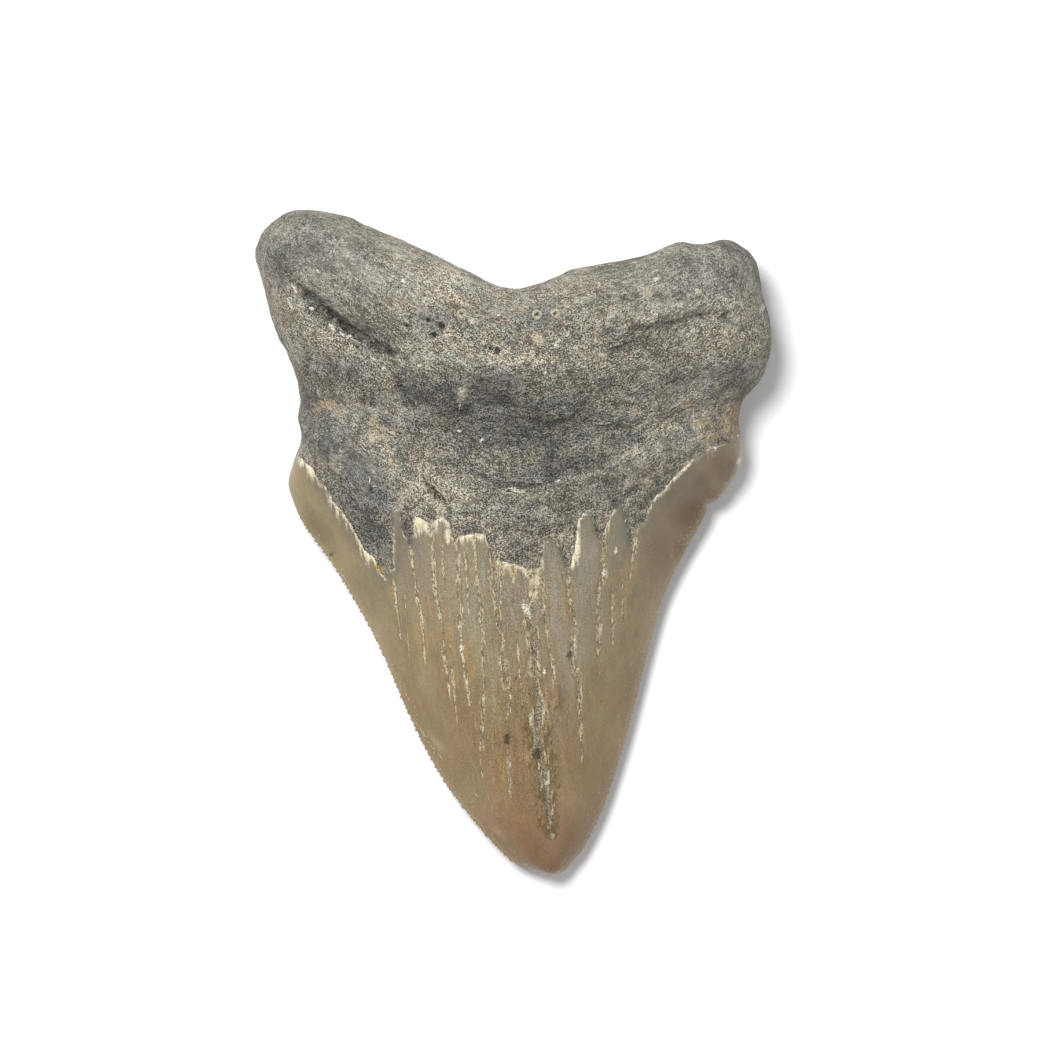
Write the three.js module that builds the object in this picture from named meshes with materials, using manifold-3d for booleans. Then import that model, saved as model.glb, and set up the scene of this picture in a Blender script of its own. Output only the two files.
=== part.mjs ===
// A fossil megalodon tooth, one solid: a two-lobed root with an enamelled blade below it.
// It lies on its flat outer face, with the bulging inner face up, as such a tooth lies on a table.
// Millimetres. +X runs across the tooth, +Y from the tip to the root and +Z up out of the inner face.
// The origin is on the table, under the middle of the tooth's width and length.

import * as THREE from "three";
import { mergeVertices } from "three/addons/utils/BufferGeometryUtils.js";
import Module from "manifold-3d";

const wasm = await Module();
wasm.setup();

// The outline, seen from above. The three sides meet at the tip and at the outer corner of each lobe.
const TIP = [4.9, -44.4];
const LEFT_CORNER = [-33.2, 41.6];
const RIGHT_CORNER = [31.2, 38.9];
const LEFT_SIDE = [
  TIP, [1.6, -43.5], [-0.7, -42.0], [-4.7, -37.7], [-8.7, -32.5], [-11.8, -27.2],
  [-14.6, -21.3], [-16.9, -15.9], [-19.3, -10.9], [-23.9, -3.1], [-28.0, 2.6], [-29.7, 6.4],
  [-30.0, 8.4], [-29.2, 11.2], [-28.3, 13.8], [-28.7, 16.4], [-28.4, 19.5], [-29.9, 24.9],
  [-31.7, 28.3], [-33.7, 35.6], [-34.4, 38.6], LEFT_CORNER,
];
const RIGHT_SIDE = [
  TIP, [6.7, -43.9], [7.9, -42.5], [9.4, -40.6], [11.9, -35.4], [14.0, -29.2], [15.8, -22.9],
  [18.3, -12.9], [19.9, -7.4], [21.9, -3.0], [24.6, 1.9], [25.7, 4.0], [25.8, 5.1], [27.5, 6.0],
  [30.1, 10.1], [30.5, 13.3], [30.1, 15.1], [30.5, 18.7], [33.4, 22.5], [34.4, 27.7],
  [33.2, 32.9], [32.4, 37.0], RIGHT_CORNER,
];
const TOP_SIDE = [
  LEFT_CORNER, [-30.6, 43.8], [-27.6, 44.4], [-22.0, 43.5], [-19.9, 42.5], [-12.3, 39.3],
  [-3.6, 35.1], [-1.2, 34.3], [1.2, 34.4], [5.6, 35.9], [7.6, 36.9], [12.4, 37.7], [17.3, 38.9],
  [21.1, 40.5], [24.4, 40.4], [27.9, 40.8], RIGHT_CORNER,
];

// Heights above the table, each at a share of the way from the tip (0) to the root's top (1).
const EDGE_HEIGHT = [[0, 3.3], [0.2, 3.1], [0.5, 3.6], [0.65, 4.6], [0.8, 6.2], [1, 7.2]];
const INNER_CREST = [
  [0, 4.9], [0.04, 5.9], [0.1, 7.5], [0.25, 10.6], [0.4, 12.9], [0.55, 14.7], [0.66, 15.6],
  [0.74, 16.6], [0.82, 19.2], [0.88, 20.6], [0.94, 20.0], [1, 18.6],
];
const OUTER_CREST = [
  [0, 2.4], [0.05, 1.5], [0.12, 0.5], [0.2, -0.18], [0.42, -0.18], [0.55, 0.3], [0.66, 1.2],
  [0.74, 1.5], [0.84, 0.7], [0.92, 0.2], [1, 0.5],
];

const ENAMEL_THICK = 0.8;
const CORE_INSET = 0.7; // how far the dentine stays inside the cutting edge
const LENS_POWER = 2.1; // the blade's inner face bulges like a lens
const FLAT_POWER = 3.2; // its outer face is flatter
const ROOT_FALL = 0.4; // share of its height that the root's inner face loses towards the lobes
const ROOT_ROUND = 7; // how far in from the outline the root's rim is rounded
const TIP_ROUND = 0.045; // share of the length over which the tip is rounded
const ROOT_STARTS = 0.56; // shares of the length between which the blade turns into the root
const ROOT_FULL = 0.74;
const LAYER_FADES = [0.63, 0.79]; // shares between which the place for the enamel fades out

// The enamel's upper border on the inner face: broken fingers with dark root between them.
const INNER_BORDER = [
  [-31, 12.6], [-28.7, 11.7], [-27.1, 10.3], [-24.8, 7.0], [-22.0, 2.9], [-18.5, -2.0], [-17.0, -4.7],
  [-16.1, -3.4], [-15.9, 4.2], [-14.9, 4.4], [-13.9, -0.9], [-13.2, 3.6], [-12.4, 3.9], [-11.0, 2.3],
  [-9.3, 3.7], [-8.2, 1.0], [-4.2, 1.0], [-3.0, -0.9], [-2.4, -2.5], [0.3, -2.8], [3.4, -3.4],
  [4.2, 0.4], [5.4, 0.7], [6.4, -1.0], [7.3, -3.2], [8.4, 0.4], [9.6, 3.7], [10.7, 3.1], [11.6, 0.6],
  [12.5, 2.9], [13.8, 4.6], [15.0, 3.8], [15.7, -0.3], [17.0, 2.6], [18.4, 5.5], [21.0, 8.4],
  [24.8, 11.6], [28.0, 13.4], [31.5, 14.6],
];
// Its border on the outer face, which reaches further up the root.
const OUTER_BORDER = [
  [-31, 12.6], [-28.4, 11.4], [-25.2, 10.9], [-21.0, 9.1], [-15.5, 8.3], [-9.0, 6.9], [-2.5, 6.2],
  [4.0, 6.7], [10.5, 8.0], [16.5, 9.3], [22.5, 11.7], [27.0, 13.2], [31.5, 14.6],
];
const BLADE_REACH = 60; // past the tooth on every side, for the shape that keeps the blade only
const PARTING_HEIGHT = 4; // the two faces' enamel meet here, at the cutting edge
const PARTING_LAP = 0.1;

// Steps in the root's inner face. Each drops off along its path, on the side towards the tip,
// and rises back to the face within its reach. The first is the ledge under the left lobe.
const STEPS = [
  {
    path: [[-31.2, 34.9], [-28.8, 33.6], [-26.7, 32.4], [-23.2, 30.2], [-19.8, 27.3], [-16.6, 25.9]],
    drop: 1.5,
    reach: 5.5,
  },
  { path: [[29.0, 30.8], [25.2, 29.9], [22.1, 29.2], [18.0, 27.4], [12.3, 26.1]], drop: 0.9, reach: 4 },
  { path: [[-15.6, 21.6], [-13.8, 19.0], [-12.2, 16.4]], drop: 0.8, reach: 3 },
];
const STEP_WALL = 0.35; // how far the wall of a step leans
const STEP_FAR_LIFT = 0.6; // the floor of a step comes out of the face at this slope's far end
const STEP_PARTS = 8;

// The lip under the dark hollow in the middle of the root.
const LIP = [[-15.0, 12.5], [-8.5, 8.6], [-2.0, 7.2], [4.5, 7.0], [11.0, 8.4], [18.5, 12.2]];
const LIP_RISE = 0.75;
const LIP_REACH = 2.2;

// Swellings and hollows of the root's inner face: x, y, reach along, reach across, turn in degrees, height.
const INNER_FORMS = [
  [3.5, 14.5, 16.0, 5.5, 0, -2.2],
  [-22.0, 36.0, 12.0, 5.5, -24, 1.1],
  [20.0, 34.0, 13.0, 4.5, 8, 1.0],
  [-25.0, 20.0, 5.0, 6.0, 0, -1.1],
  [25.0, 18.5, 6.0, 6.0, 0, -1.0],
  [0.0, 32.5, 5.5, 3.0, 0, -1.1],
  [-9.6, 7.0, 4.0, 1.8, -35, 0.7],
];
// The same for the outer face, where the root is a little hollow between its lobes.
const OUTER_FORMS = [
  [0.0, 26.0, 13.0, 9.0, 0, -1.6],
  [-22.0, 31.0, 9.0, 7.0, 0, 0.7],
  [22.0, 29.0, 9.0, 7.0, 0, 0.7],
];

// Small lumps on the root: x, y, half its size along X, half along Y, and how far it stands out.
const LUMPS = [
  [-6.9, 19.9, 1.1, 1.3, 0.6], [15.7, 16.0, 0.7, 2.2, 0.5], [3.8, 26.8, 0.9, 0.7, 0.4],
  [-5.5, 29.4, 0.7, 0.6, 0.4], [24.3, 33.2, 1.2, 0.8, 0.4],
];

// The root's blood-vessel holes: x, y, radius.
const VESSEL_HOLES = [
  [-11.1, 29.3, 0.5], [-9.5, 28.6, 0.7], [-6.7, 30.3, 0.55], [-4.6, 30.5, 0.4],
  [3.1, 30.2, 0.5], [5.4, 30.2, 0.55], [-2.2, 25.4, 0.5],
];
const HOLE_DEPTH = 1.3;
const HOLE_SIDES = 6;

// Cracks along the blade: points from the top down, and the width at the top.
const CRACKS = [
  { path: [[1.9, -3.2], [1.6, -9.3], [3.0, -15.0], [3.4, -22.5], [4.4, -31.5], [5.1, -38.2]], wide: 1.5 },
  { path: [[-2.8, -1.2], [-2.2, -8.1], [-1.4, -14.6], [-0.6, -21.0], [-0.6, -28.5], [-0.4, -34.9]], wide: 0.9 },
  { path: [[-7.6, 0.9], [-7.1, -8.5], [-6.6, -15.5], [-5.9, -20.9], [-5.5, -24.1]], wide: 0.8 },
  { path: [[7.2, -4.5], [7.5, -9.9], [8.0, -17.0], [8.9, -23.4], [9.1, -29.7]], wide: 0.9 },
  { path: [[-10.9, 2.2], [-10.3, -6.5], [-9.4, -13.6], [-8.4, -21.3]], wide: 0.7 },
  { path: [[12.0, 1.0], [11.6, -6.0], [11.4, -13.0], [11.4, -18.5]], wide: 0.7 },
];
const CRACK_DEPTH = 0.45;
const CRACK_LIFT = 0.35; // how far the cutting wedge stands out of the face

// Serrations run up both cutting edges.
const SERRATION_PITCH = 0.93;
const SERRATION_OUT = 0.36;
const SERRATION_IN = 0.9; // how far inside the cutting edge the saw-toothed strip is rooted
const SERRATION_SLOPES = [0.42, -0.2]; // its height there, above and below the edge
const LEFT_SERRATED = [0.04, 0.61]; // shares of each side's length, worn off outside them
const RIGHT_SERRATED = [0.07, 0.49];

// The mesh: columns across and rows along each face, closer together towards the rims.
const COLUMNS = 22;
const ROWS = 45;
const RIM_COLUMNS = 0.12;
const RIM_WIDTH = 0.08;
const RIM_ROWS = 0.85;
const RIM_TOP = 0.9;
const OUTLINE_STEPS = 160;
const PLACES_ACROSS = 60;
const PLACES_ALONG = 100;

const clamp01 = (value) => Math.min(Math.max(value, 0), 1);
const mix = (a, b, share) => a + (b - a) * share;

function smoothstep(from, to, value) {
  const share = clamp01((value - from) / (to - from));
  return share * share * (3 - 2 * share);
}

// A smooth curve through [place, value] knots.
function through(knots, place) {
  const last = knots.length - 1;
  let i = 0;
  while (i < last - 1 && place > knots[i + 1][0]) i += 1;
  const slopeAt = (k) => {
    const before = knots[Math.max(k - 1, 0)];
    const after = knots[Math.min(k + 1, last)];
    return (after[1] - before[1]) / (after[0] - before[0]);
  };
  const gap = knots[i + 1][0] - knots[i][0];
  const t = clamp01((place - knots[i][0]) / gap);
  const start = knots[i][1] * (1 + 2 * t) * (1 - t) ** 2 + slopeAt(i) * gap * t * (1 - t) ** 2;
  const end = knots[i + 1][1] * (3 - 2 * t) * t ** 2 - slopeAt(i + 1) * gap * (1 - t) * t ** 2;
  return start + end;
}

const splineOf = (points) => new THREE.SplineCurve(points.map(([x, y]) => new THREE.Vector2(x, y)));
const leftSide = splineOf(LEFT_SIDE);
const rightSide = splineOf(RIGHT_SIDE);
const topSide = splineOf(TOP_SIDE);
for (const side of [leftSide, rightSide, topSide]) side.arcLengthDivisions = 800;
const outline = [
  ...leftSide.getSpacedPoints(OUTLINE_STEPS),
  ...topSide.getSpacedPoints(OUTLINE_STEPS),
  ...rightSide.getSpacedPoints(OUTLINE_STEPS).reverse(),
];

// The nearest place on a chain of points: how far off it is, and at what share of the chain it lies.
function nearest(chain, x, y) {
  let best = { far: Infinity, share: 0 };
  for (let i = 0; i + 1 < chain.length; i += 1) {
    const ax = chain[i].x, ay = chain[i].y;
    const bx = chain[i + 1].x - ax, by = chain[i + 1].y - ay;
    const along = clamp01(((x - ax) * bx + (y - ay) * by) / (bx * bx + by * by || 1));
    const far = Math.hypot(x - ax - along * bx, y - ay - along * by);
    if (far < best.far) best = { far, share: (i + along) / (chain.length - 1) };
  }
  return best;
}

const chainOf = (points) => splineOf(points).getPoints(30);
const lipChain = chainOf(LIP);

// One rounded swelling, or a hollow where its height is negative.
function swelling([cx, cy, along, across, turn, height], x, y) {
  const angle = THREE.MathUtils.degToRad(turn);
  const dx = (x - cx) * Math.cos(angle) + (y - cy) * Math.sin(angle);
  const dy = (y - cy) * Math.cos(angle) - (x - cx) * Math.sin(angle);
  return height * Math.exp(-((dx / along) ** 2) - (dy / across) ** 2);
}

// The slow unevenness of weathered bone.
const unevenness = (x, y) =>
  0.16 * Math.sin(0.62 * x + 0.35 * y + 1.2) +
  0.14 * Math.sin(-0.41 * x + 0.83 * y + 0.4) +
  0.09 * Math.sin(1.13 * x + 0.92 * y + 2.6);

// The lip stands up along its line and fades out towards both ends.
function lipAt(x, y) {
  const lip = nearest(lipChain, x, y);
  const ends = Math.sin(Math.PI * clamp01(lip.share)) ** 0.7;
  return LIP_RISE * ends * Math.exp(-((lip.far / LIP_REACH) ** 2));
}

// Where a share across and a share along lie in the outline. The core is drawn in from the blade's edges.
function placeInOutline(across, along, inset) {
  const left = leftSide.getPointAt(along);
  const right = rightSide.getPointAt(along);
  const top = topSide.getPointAt(across);
  const corner = (k) => mix(LEFT_CORNER[k], RIGHT_CORNER[k], across);
  const x = mix(left.x, right.x, across) + along * (top.x - corner(0));
  const y = mix(left.y, right.y, across) + along * (top.y - corner(1));
  const drawn = inset * (1 - smoothstep(ROOT_STARTS, ROOT_FULL, along));
  const width = Math.max(right.x - left.x, 1e-6);
  const shrink = Math.min((2 * drawn) / width, 0.9);
  const centre = (left.x + right.x) / 2;
  return [mix(x, centre, shrink), y + drawn * (1 - along) ** 8 * 1.5];
}

// The height of one face at a place. layer is how much lies off the enamel's outer surface on the blade.
function heightOf(face, across, along, x, y, layer) {
  const out = Math.abs(2 * across - 1);
  const middle = through(EDGE_HEIGHT, along);
  const rootness = smoothstep(ROOT_STARTS, ROOT_FULL, along);
  const inFromEdge = clamp01(nearest(outline, x, y).far / ROOT_ROUND);
  const rim = Math.sqrt(Math.max(1 - (1 - inFromEdge) ** 2.2, 0));
  const tip = Math.sqrt(1 - (1 - clamp01(along / TIP_ROUND)) ** 2);
  const onRoot = rootness * rim;
  const fade = 1 - smoothstep(...LAYER_FADES, along);
  if (face === "inner") {
    const lens = Math.max(1 - out ** LENS_POWER, 0) ** 0.95;
    const share = mix(lens * tip, rim * (1 - ROOT_FALL * out ** 2), rootness);
    const forms = INNER_FORMS.reduce((sum, form) => sum + swelling(form, x, y), 0);
    const relief = onRoot * (forms + lipAt(x, y) + unevenness(x, y));
    return middle + (through(INNER_CREST, along) - middle) * share + relief - layer * fade * share ** 0.3;
  }
  const lens = Math.max(1 - out ** FLAT_POWER, 0);
  const share = mix(lens * tip, rim, rootness);
  const forms = OUTER_FORMS.reduce((sum, form) => sum + swelling(form, x, y), 0);
  const drop = (middle - through(OUTER_CREST, along)) * share;
  return middle - drop - onRoot * (forms + unevenness(y, x)) + layer * fade * share ** 0.3;
}

// Evenly counted columns and rows, moved closer together near the rims.
function spreadAcross(t) {
  if (t < RIM_COLUMNS) return RIM_WIDTH * (1 - Math.cos(((Math.PI / 2) * t) / RIM_COLUMNS));
  if (t > 1 - RIM_COLUMNS) return 1 - spreadAcross(1 - t);
  return mix(RIM_WIDTH, 1 - RIM_WIDTH, (t - RIM_COLUMNS) / (1 - 2 * RIM_COLUMNS));
}

function spreadAlong(t) {
  if (t < RIM_ROWS) return (t * RIM_TOP) / RIM_ROWS;
  return RIM_TOP + (1 - RIM_TOP) * Math.sin(((Math.PI / 2) * (t - RIM_ROWS)) / (1 - RIM_ROWS));
}

// One face of the tooth: a flat grid whose points are moved on to the face.
function faceGrid(face, layer) {
  const grid = new THREE.PlaneGeometry(1, 1, COLUMNS, ROWS);
  const position = grid.attributes.position;
  const inset = layer ? CORE_INSET : 0;
  for (let i = 0; i < position.count; i += 1) {
    const across = spreadAcross(clamp01(position.getX(i) + 0.5));
    const along = spreadAlong(clamp01(position.getY(i) + 0.5));
    const [x, y] = placeInOutline(across, along, inset);
    const onOutline = across < 1e-6 || across > 1 - 1e-6 || along < 1e-6 || along > 1 - 1e-6;
    const z = onOutline ? through(EDGE_HEIGHT, along) : heightOf(face, across, along, x, y, layer);
    position.setXYZ(i, x, y, z);
  }
  if (face === "outer") {
    const corners = grid.index.array;
    for (let i = 0; i < corners.length; i += 3) {
      [corners[i + 1], corners[i + 2]] = [corners[i + 2], corners[i + 1]];
    }
  }
  return grid;
}

// One closed solid of one or more geometries that close each other.
function solidOf(...geometries) {
  const points = [];
  for (const geometry of geometries) {
    const loose = geometry.index ? geometry.toNonIndexed() : geometry;
    points.push(...loose.attributes.position.array);
  }
  const joined = new THREE.BufferGeometry();
  joined.setAttribute("position", new THREE.Float32BufferAttribute(points, 3));
  const merged = mergeVertices(joined, 1e-4);
  const corners = merged.index.array;
  const kept = [];
  for (let i = 0; i < corners.length; i += 3) {
    const [a, b, c] = [corners[i], corners[i + 1], corners[i + 2]];
    if (a !== b && b !== c && c !== a) kept.push(a, b, c);
  }
  return new wasm.Manifold(
    new wasm.Mesh({
      numProp: 3,
      vertProperties: merged.attributes.position.array,
      triVerts: new Uint32Array(kept),
    }),
  );
}

// The whole tooth's form, out to the enamel or in to the dentine under it.
const bodyOf = (layer) => solidOf(faceGrid("inner", layer), faceGrid("outer", layer));

// A tall block over all that lies on the blade's side of an enamel border.
function bladeBlock(border, from, to) {
  const shape = new THREE.Shape();
  shape.moveTo(-BLADE_REACH, border[0][1]);
  for (const [x, y] of border) shape.lineTo(x, y);
  shape.lineTo(BLADE_REACH, border[border.length - 1][1]);
  shape.lineTo(BLADE_REACH, -BLADE_REACH);
  shape.lineTo(-BLADE_REACH, -BLADE_REACH);
  shape.closePath();
  const block = new THREE.ExtrudeGeometry(shape, { depth: to - from, bevelEnabled: false });
  block.translate(0, 0, from);
  return solidOf(block);
}

// Places all over the outline, each with its shares across and along.
const places = [];
for (let i = 0; i <= PLACES_ACROSS; i += 1) {
  for (let j = 0; j <= PLACES_ALONG; j += 1) {
    const across = i / PLACES_ACROSS;
    const along = j / PLACES_ALONG;
    const [x, y] = placeInOutline(across, along, 0);
    places.push({ x, y, across, along });
  }
}

// The height of the inner face at (x, y), from the two shares that lead there.
function innerHeightAt(x, y) {
  const farOf = (place) => Math.hypot(place.x - x, place.y - y);
  const closest = places.reduce((best, place) => (farOf(place) < farOf(best) ? place : best));
  let { across, along } = closest;
  for (let round = 0; round < 3; round += 1) {
    const step = 0.004;
    const [px, py] = placeInOutline(across, along, 0);
    const [ax, ay] = placeInOutline(clamp01(across + step), along, 0);
    const [bx, by] = placeInOutline(across, clamp01(along + step), 0);
    const [ux, uy, vx, vy] = [(ax - px) / step, (ay - py) / step, (bx - px) / step, (by - py) / step];
    const area = ux * vy - uy * vx;
    if (Math.abs(area) < 1e-6) break;
    across = clamp01(across + ((x - px) * vy - (y - py) * vx) / area);
    along = clamp01(along + ((y - py) * ux - (x - px) * uy) / area);
  }
  return heightOf("inner", across, along, x, y, 0);
}

// A solid that runs along a path. ringAt gives its cross-section at a share of the path.
function runOf(ringAt, parts) {
  const rings = Array.from({ length: parts + 1 }, (_, i) => ringAt(i / parts));
  const corners = [];
  const triangle = (a, b, c) => corners.push(...a, ...b, ...c);
  const size = rings[0].length;
  for (let i = 0; i < parts; i += 1) {
    for (let k = 0; k < size; k += 1) {
      const next = (k + 1) % size;
      triangle(rings[i][k], rings[i + 1][k], rings[i][next]);
      triangle(rings[i][next], rings[i + 1][k], rings[i + 1][next]);
    }
  }
  for (let k = 1; k + 1 < size; k += 1) {
    triangle(rings[0][0], rings[0][k], rings[0][k + 1]);
    triangle(rings[parts][0], rings[parts][k + 1], rings[parts][k]);
  }
  const run = new THREE.BufferGeometry();
  run.setAttribute("position", new THREE.Float32BufferAttribute(corners, 3));
  return solidOf(run);
}

// A crack is a thin wedge that follows its path down the blade's inner face.
function crackOf({ path, wide }) {
  const centre = splineOf(path);
  const ringAt = (t) => {
    const at = centre.getPointAt(t);
    const depth = CRACK_DEPTH * Math.max(1 - t, 0.4);
    const half = (wide / 2) * Math.max(1 - t, 0.3) * (1 + CRACK_LIFT / depth);
    const face = innerHeightAt(at.x, at.y);
    const lid = face + CRACK_LIFT;
    return [[at.x - half, at.y, lid], [at.x + half, at.y, lid], [at.x, at.y, face - depth]];
  };
  return runOf(ringAt, path.length);
}

// What a step takes away: a steep wall on its path, and a floor that slopes back up to the face.
function stepOf({ path, drop, reach }) {
  const centre = splineOf(path);
  const towardsTip = path[0][0] < path[path.length - 1][0] ? 1 : -1;
  const ringAt = (t) => {
    const at = centre.getPointAt(t);
    const heading = centre.getTangentAt(t);
    const [nx, ny] = [heading.y * towardsTip, -heading.x * towardsTip];
    const ends = Math.max(Math.sin(Math.PI * t) ** 0.6, 0.08);
    const far = [at.x + nx * reach * ends, at.y + ny * reach * ends];
    const wall = [at.x - nx * STEP_WALL, at.y - ny * STEP_WALL];
    const face = innerHeightAt(at.x, at.y);
    const farFace = innerHeightAt(...far);
    const ring = [
      [...wall, face + 2],
      [...far, farFace + 2],
      [...far, farFace + STEP_FAR_LIFT],
      [at.x, at.y, face - drop * ends],
    ];
    return towardsTip > 0 ? ring.reverse() : ring;
  };
  return runOf(ringAt, STEP_PARTS);
}

// A rounded lump, sunk into the root's inner face.
function lumpOf([x, y, halfX, halfY, rise]) {
  const lump = new THREE.IcosahedronGeometry(1, 1);
  lump.scale(halfX, halfY, 1);
  lump.translate(x, y, innerHeightAt(x, y) + rise - 1);
  return solidOf(lump);
}

// What lies under the table, so that the tooth ends in small worn flats where it touches.
function underTable() {
  const block = new THREE.BoxGeometry(2 * BLADE_REACH, 2 * BLADE_REACH, BLADE_REACH);
  block.translate(0, 0, -BLADE_REACH / 2);
  return solidOf(block);
}

// A blood-vessel hole, narrowing as it goes in.
function vesselHole([x, y, radius]) {
  const hole = new THREE.CylinderGeometry(radius, radius * 0.6, HOLE_DEPTH * 2, HOLE_SIDES);
  hole.rotateX(Math.PI / 2);
  hole.translate(x, y, innerHeightAt(x, y));
  return solidOf(hole);
}

// The serrations of one cutting edge: a thin strip along the edge with a saw-toothed rim.
function serrationsOf(side, outwards, [from, to]) {
  const count = Math.floor(((to - from) * side.getLength()) / SERRATION_PITCH);
  const ringAt = (t) => {
    const share = mix(from, to, t);
    const at = side.getPointAt(share);
    const heading = side.getTangentAt(share);
    const [nx, ny] = [-heading.y * outwards, heading.x * outwards];
    const peak = Math.round(t * count * 2) % 2 === 1;
    const out = peak ? SERRATION_OUT : -0.05;
    const edge = through(EDGE_HEIGHT, share);
    const inside = [at.x - nx * SERRATION_IN, at.y - ny * SERRATION_IN];
    const ring = [
      [at.x + nx * out, at.y + ny * out, edge],
      [...inside, edge + SERRATION_SLOPES[0]],
      [...inside, edge + SERRATION_SLOPES[1]],
    ];
    return outwards > 0 ? ring.reverse() : ring;
  };
  return runOf(ringAt, count * 2);
}

function toothSolid() {
  const core = bodyOf(ENAMEL_THICK);
  const full = bodyOf(0);
  const innerEnamel = full.intersect(bladeBlock(INNER_BORDER, PARTING_HEIGHT - PARTING_LAP, BLADE_REACH));
  const outerEnamel = full.intersect(bladeBlock(OUTER_BORDER, -BLADE_REACH, PARTING_HEIGHT + PARTING_LAP));
  let tooth = core.add(innerEnamel).add(outerEnamel).subtract(underTable());
  for (const step of STEPS) tooth = tooth.subtract(stepOf(step));
  for (const lump of LUMPS) tooth = tooth.add(lumpOf(lump));
  for (const crack of CRACKS) tooth = tooth.subtract(crackOf(crack));
  for (const hole of VESSEL_HOLES) tooth = tooth.subtract(vesselHole(hole));
  tooth = tooth.add(serrationsOf(leftSide, 1, LEFT_SERRATED));
  return tooth.add(serrationsOf(rightSide, -1, RIGHT_SERRATED));
}

// The surface of a finished solid.
function geometryOf(solid) {
  const mesh = solid.getMesh();
  const positions = new Float32Array(mesh.numVert * 3);
  for (let i = 0; i < mesh.numVert; i += 1) {
    positions.set(mesh.vertProperties.subarray(i * mesh.numProp, i * mesh.numProp + 3), i * 3);
  }
  const geometry = new THREE.BufferGeometry();
  geometry.setAttribute("position", new THREE.BufferAttribute(positions, 3));
  geometry.setIndex(new THREE.BufferAttribute(mesh.triVerts, 1));
  geometry.computeVertexNormals();
  return geometry;
}

const fossil = new THREE.MeshStandardMaterial({ color: 0x8a8270, roughness: 0.7, metalness: 0 });
const tooth = new THREE.Mesh(geometryOf(toothSolid()), fossil);
tooth.name = "tooth";

const part = new THREE.Group();
part.add(tooth);

export default part;
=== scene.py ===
# %% [markdown]
# A fossil megalodon tooth lies on a pale table: a dark, rough, two-lobed root, and below it a khaki
# enamel blade with finely serrated cutting edges and long cracks. This lesson builds its looks.
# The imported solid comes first, as a fixed frame. The looks go around it, in the same place and size.

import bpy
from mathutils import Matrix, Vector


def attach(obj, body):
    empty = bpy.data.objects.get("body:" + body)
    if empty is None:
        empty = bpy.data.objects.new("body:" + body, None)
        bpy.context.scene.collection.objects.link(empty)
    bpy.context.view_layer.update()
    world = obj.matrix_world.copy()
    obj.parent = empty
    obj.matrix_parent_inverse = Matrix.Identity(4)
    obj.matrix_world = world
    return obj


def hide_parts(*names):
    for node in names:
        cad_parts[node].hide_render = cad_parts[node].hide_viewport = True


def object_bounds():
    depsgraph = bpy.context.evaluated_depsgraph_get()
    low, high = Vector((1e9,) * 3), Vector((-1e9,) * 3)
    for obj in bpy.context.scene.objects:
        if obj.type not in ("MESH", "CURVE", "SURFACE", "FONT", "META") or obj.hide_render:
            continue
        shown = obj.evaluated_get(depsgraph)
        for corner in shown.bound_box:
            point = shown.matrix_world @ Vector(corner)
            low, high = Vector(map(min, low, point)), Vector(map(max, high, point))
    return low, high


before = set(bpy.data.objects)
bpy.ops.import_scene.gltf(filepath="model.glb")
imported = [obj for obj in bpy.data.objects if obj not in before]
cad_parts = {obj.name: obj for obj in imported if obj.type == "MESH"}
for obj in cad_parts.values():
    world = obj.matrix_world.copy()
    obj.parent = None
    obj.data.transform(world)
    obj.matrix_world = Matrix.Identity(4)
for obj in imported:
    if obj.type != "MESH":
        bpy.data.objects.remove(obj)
solid_box = [list(corner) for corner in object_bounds()]
print("packed solid, metres:", solid_box)

# %% [markdown]
# The fine work is done in millimetres with arrays, one row for each point of the mesh. An array makes
# the same sum for a hundred thousand points at once, which is far quicker than a loop over them.
# Blender itself wants metres.

# %% Tools and units
from math import pi

import bmesh
import bpy
import numpy as np
from mathutils import Vector, noise

MM = 0.001
TINY = 1e-6


def mix(a, b, share):
    return a + (b - a) * share


def smoothstep(low, high, value):
    share = np.clip((value - low) / (high - low), 0, 1)
    return share * share * (3 - 2 * share)


def place_in_scene(name, data):
    made = bpy.data.objects.new(name, data)
    bpy.context.scene.collection.objects.link(made)
    return made


# %% [markdown]
# The outline is what anyone knows a megalodon tooth by. Three curves make it: the two cutting edges,
# which run on up the sides of the root, and the root's notched top. They meet at the tip and at the
# outer corner of each lobe. Each is a smooth curve through a few points, read at even steps.

# %% The three sides of the outline
TIP = (4.9, -44.4)
LEFT_CORNER = (-33.2, 41.6)
RIGHT_CORNER = (31.2, 38.9)
LEFT_SIDE = [
    TIP, (1.6, -43.5), (-0.7, -42), (-4.7, -37.7), (-8.7, -32.5), (-11.8, -27.2),
    (-14.6, -21.3), (-16.9, -15.9), (-19.3, -10.9), (-23.9, -3.1), (-28, 2.6), (-29.7, 6.4),
    (-30, 8.4), (-29.2, 11.2), (-28.3, 13.8), (-28.7, 16.4), (-28.4, 19.5), (-29.9, 24.9),
    (-31.7, 28.3), (-33.7, 35.6), (-34.4, 38.6), LEFT_CORNER,
]
RIGHT_SIDE = [
    TIP, (6.7, -43.9), (7.9, -42.5), (9.4, -40.6), (11.9, -35.4), (14, -29.2), (15.8, -22.9),
    (18.3, -12.9), (19.9, -7.4), (21.9, -3), (24.6, 1.9), (25.7, 4), (25.8, 5.1), (27.5, 6),
    (30.1, 10.1), (30.5, 13.3), (30.1, 15.1), (30.5, 18.7), (33.4, 22.5), (34.4, 27.7),
    (33.2, 32.9), (32.4, 37), RIGHT_CORNER,
]
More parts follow.
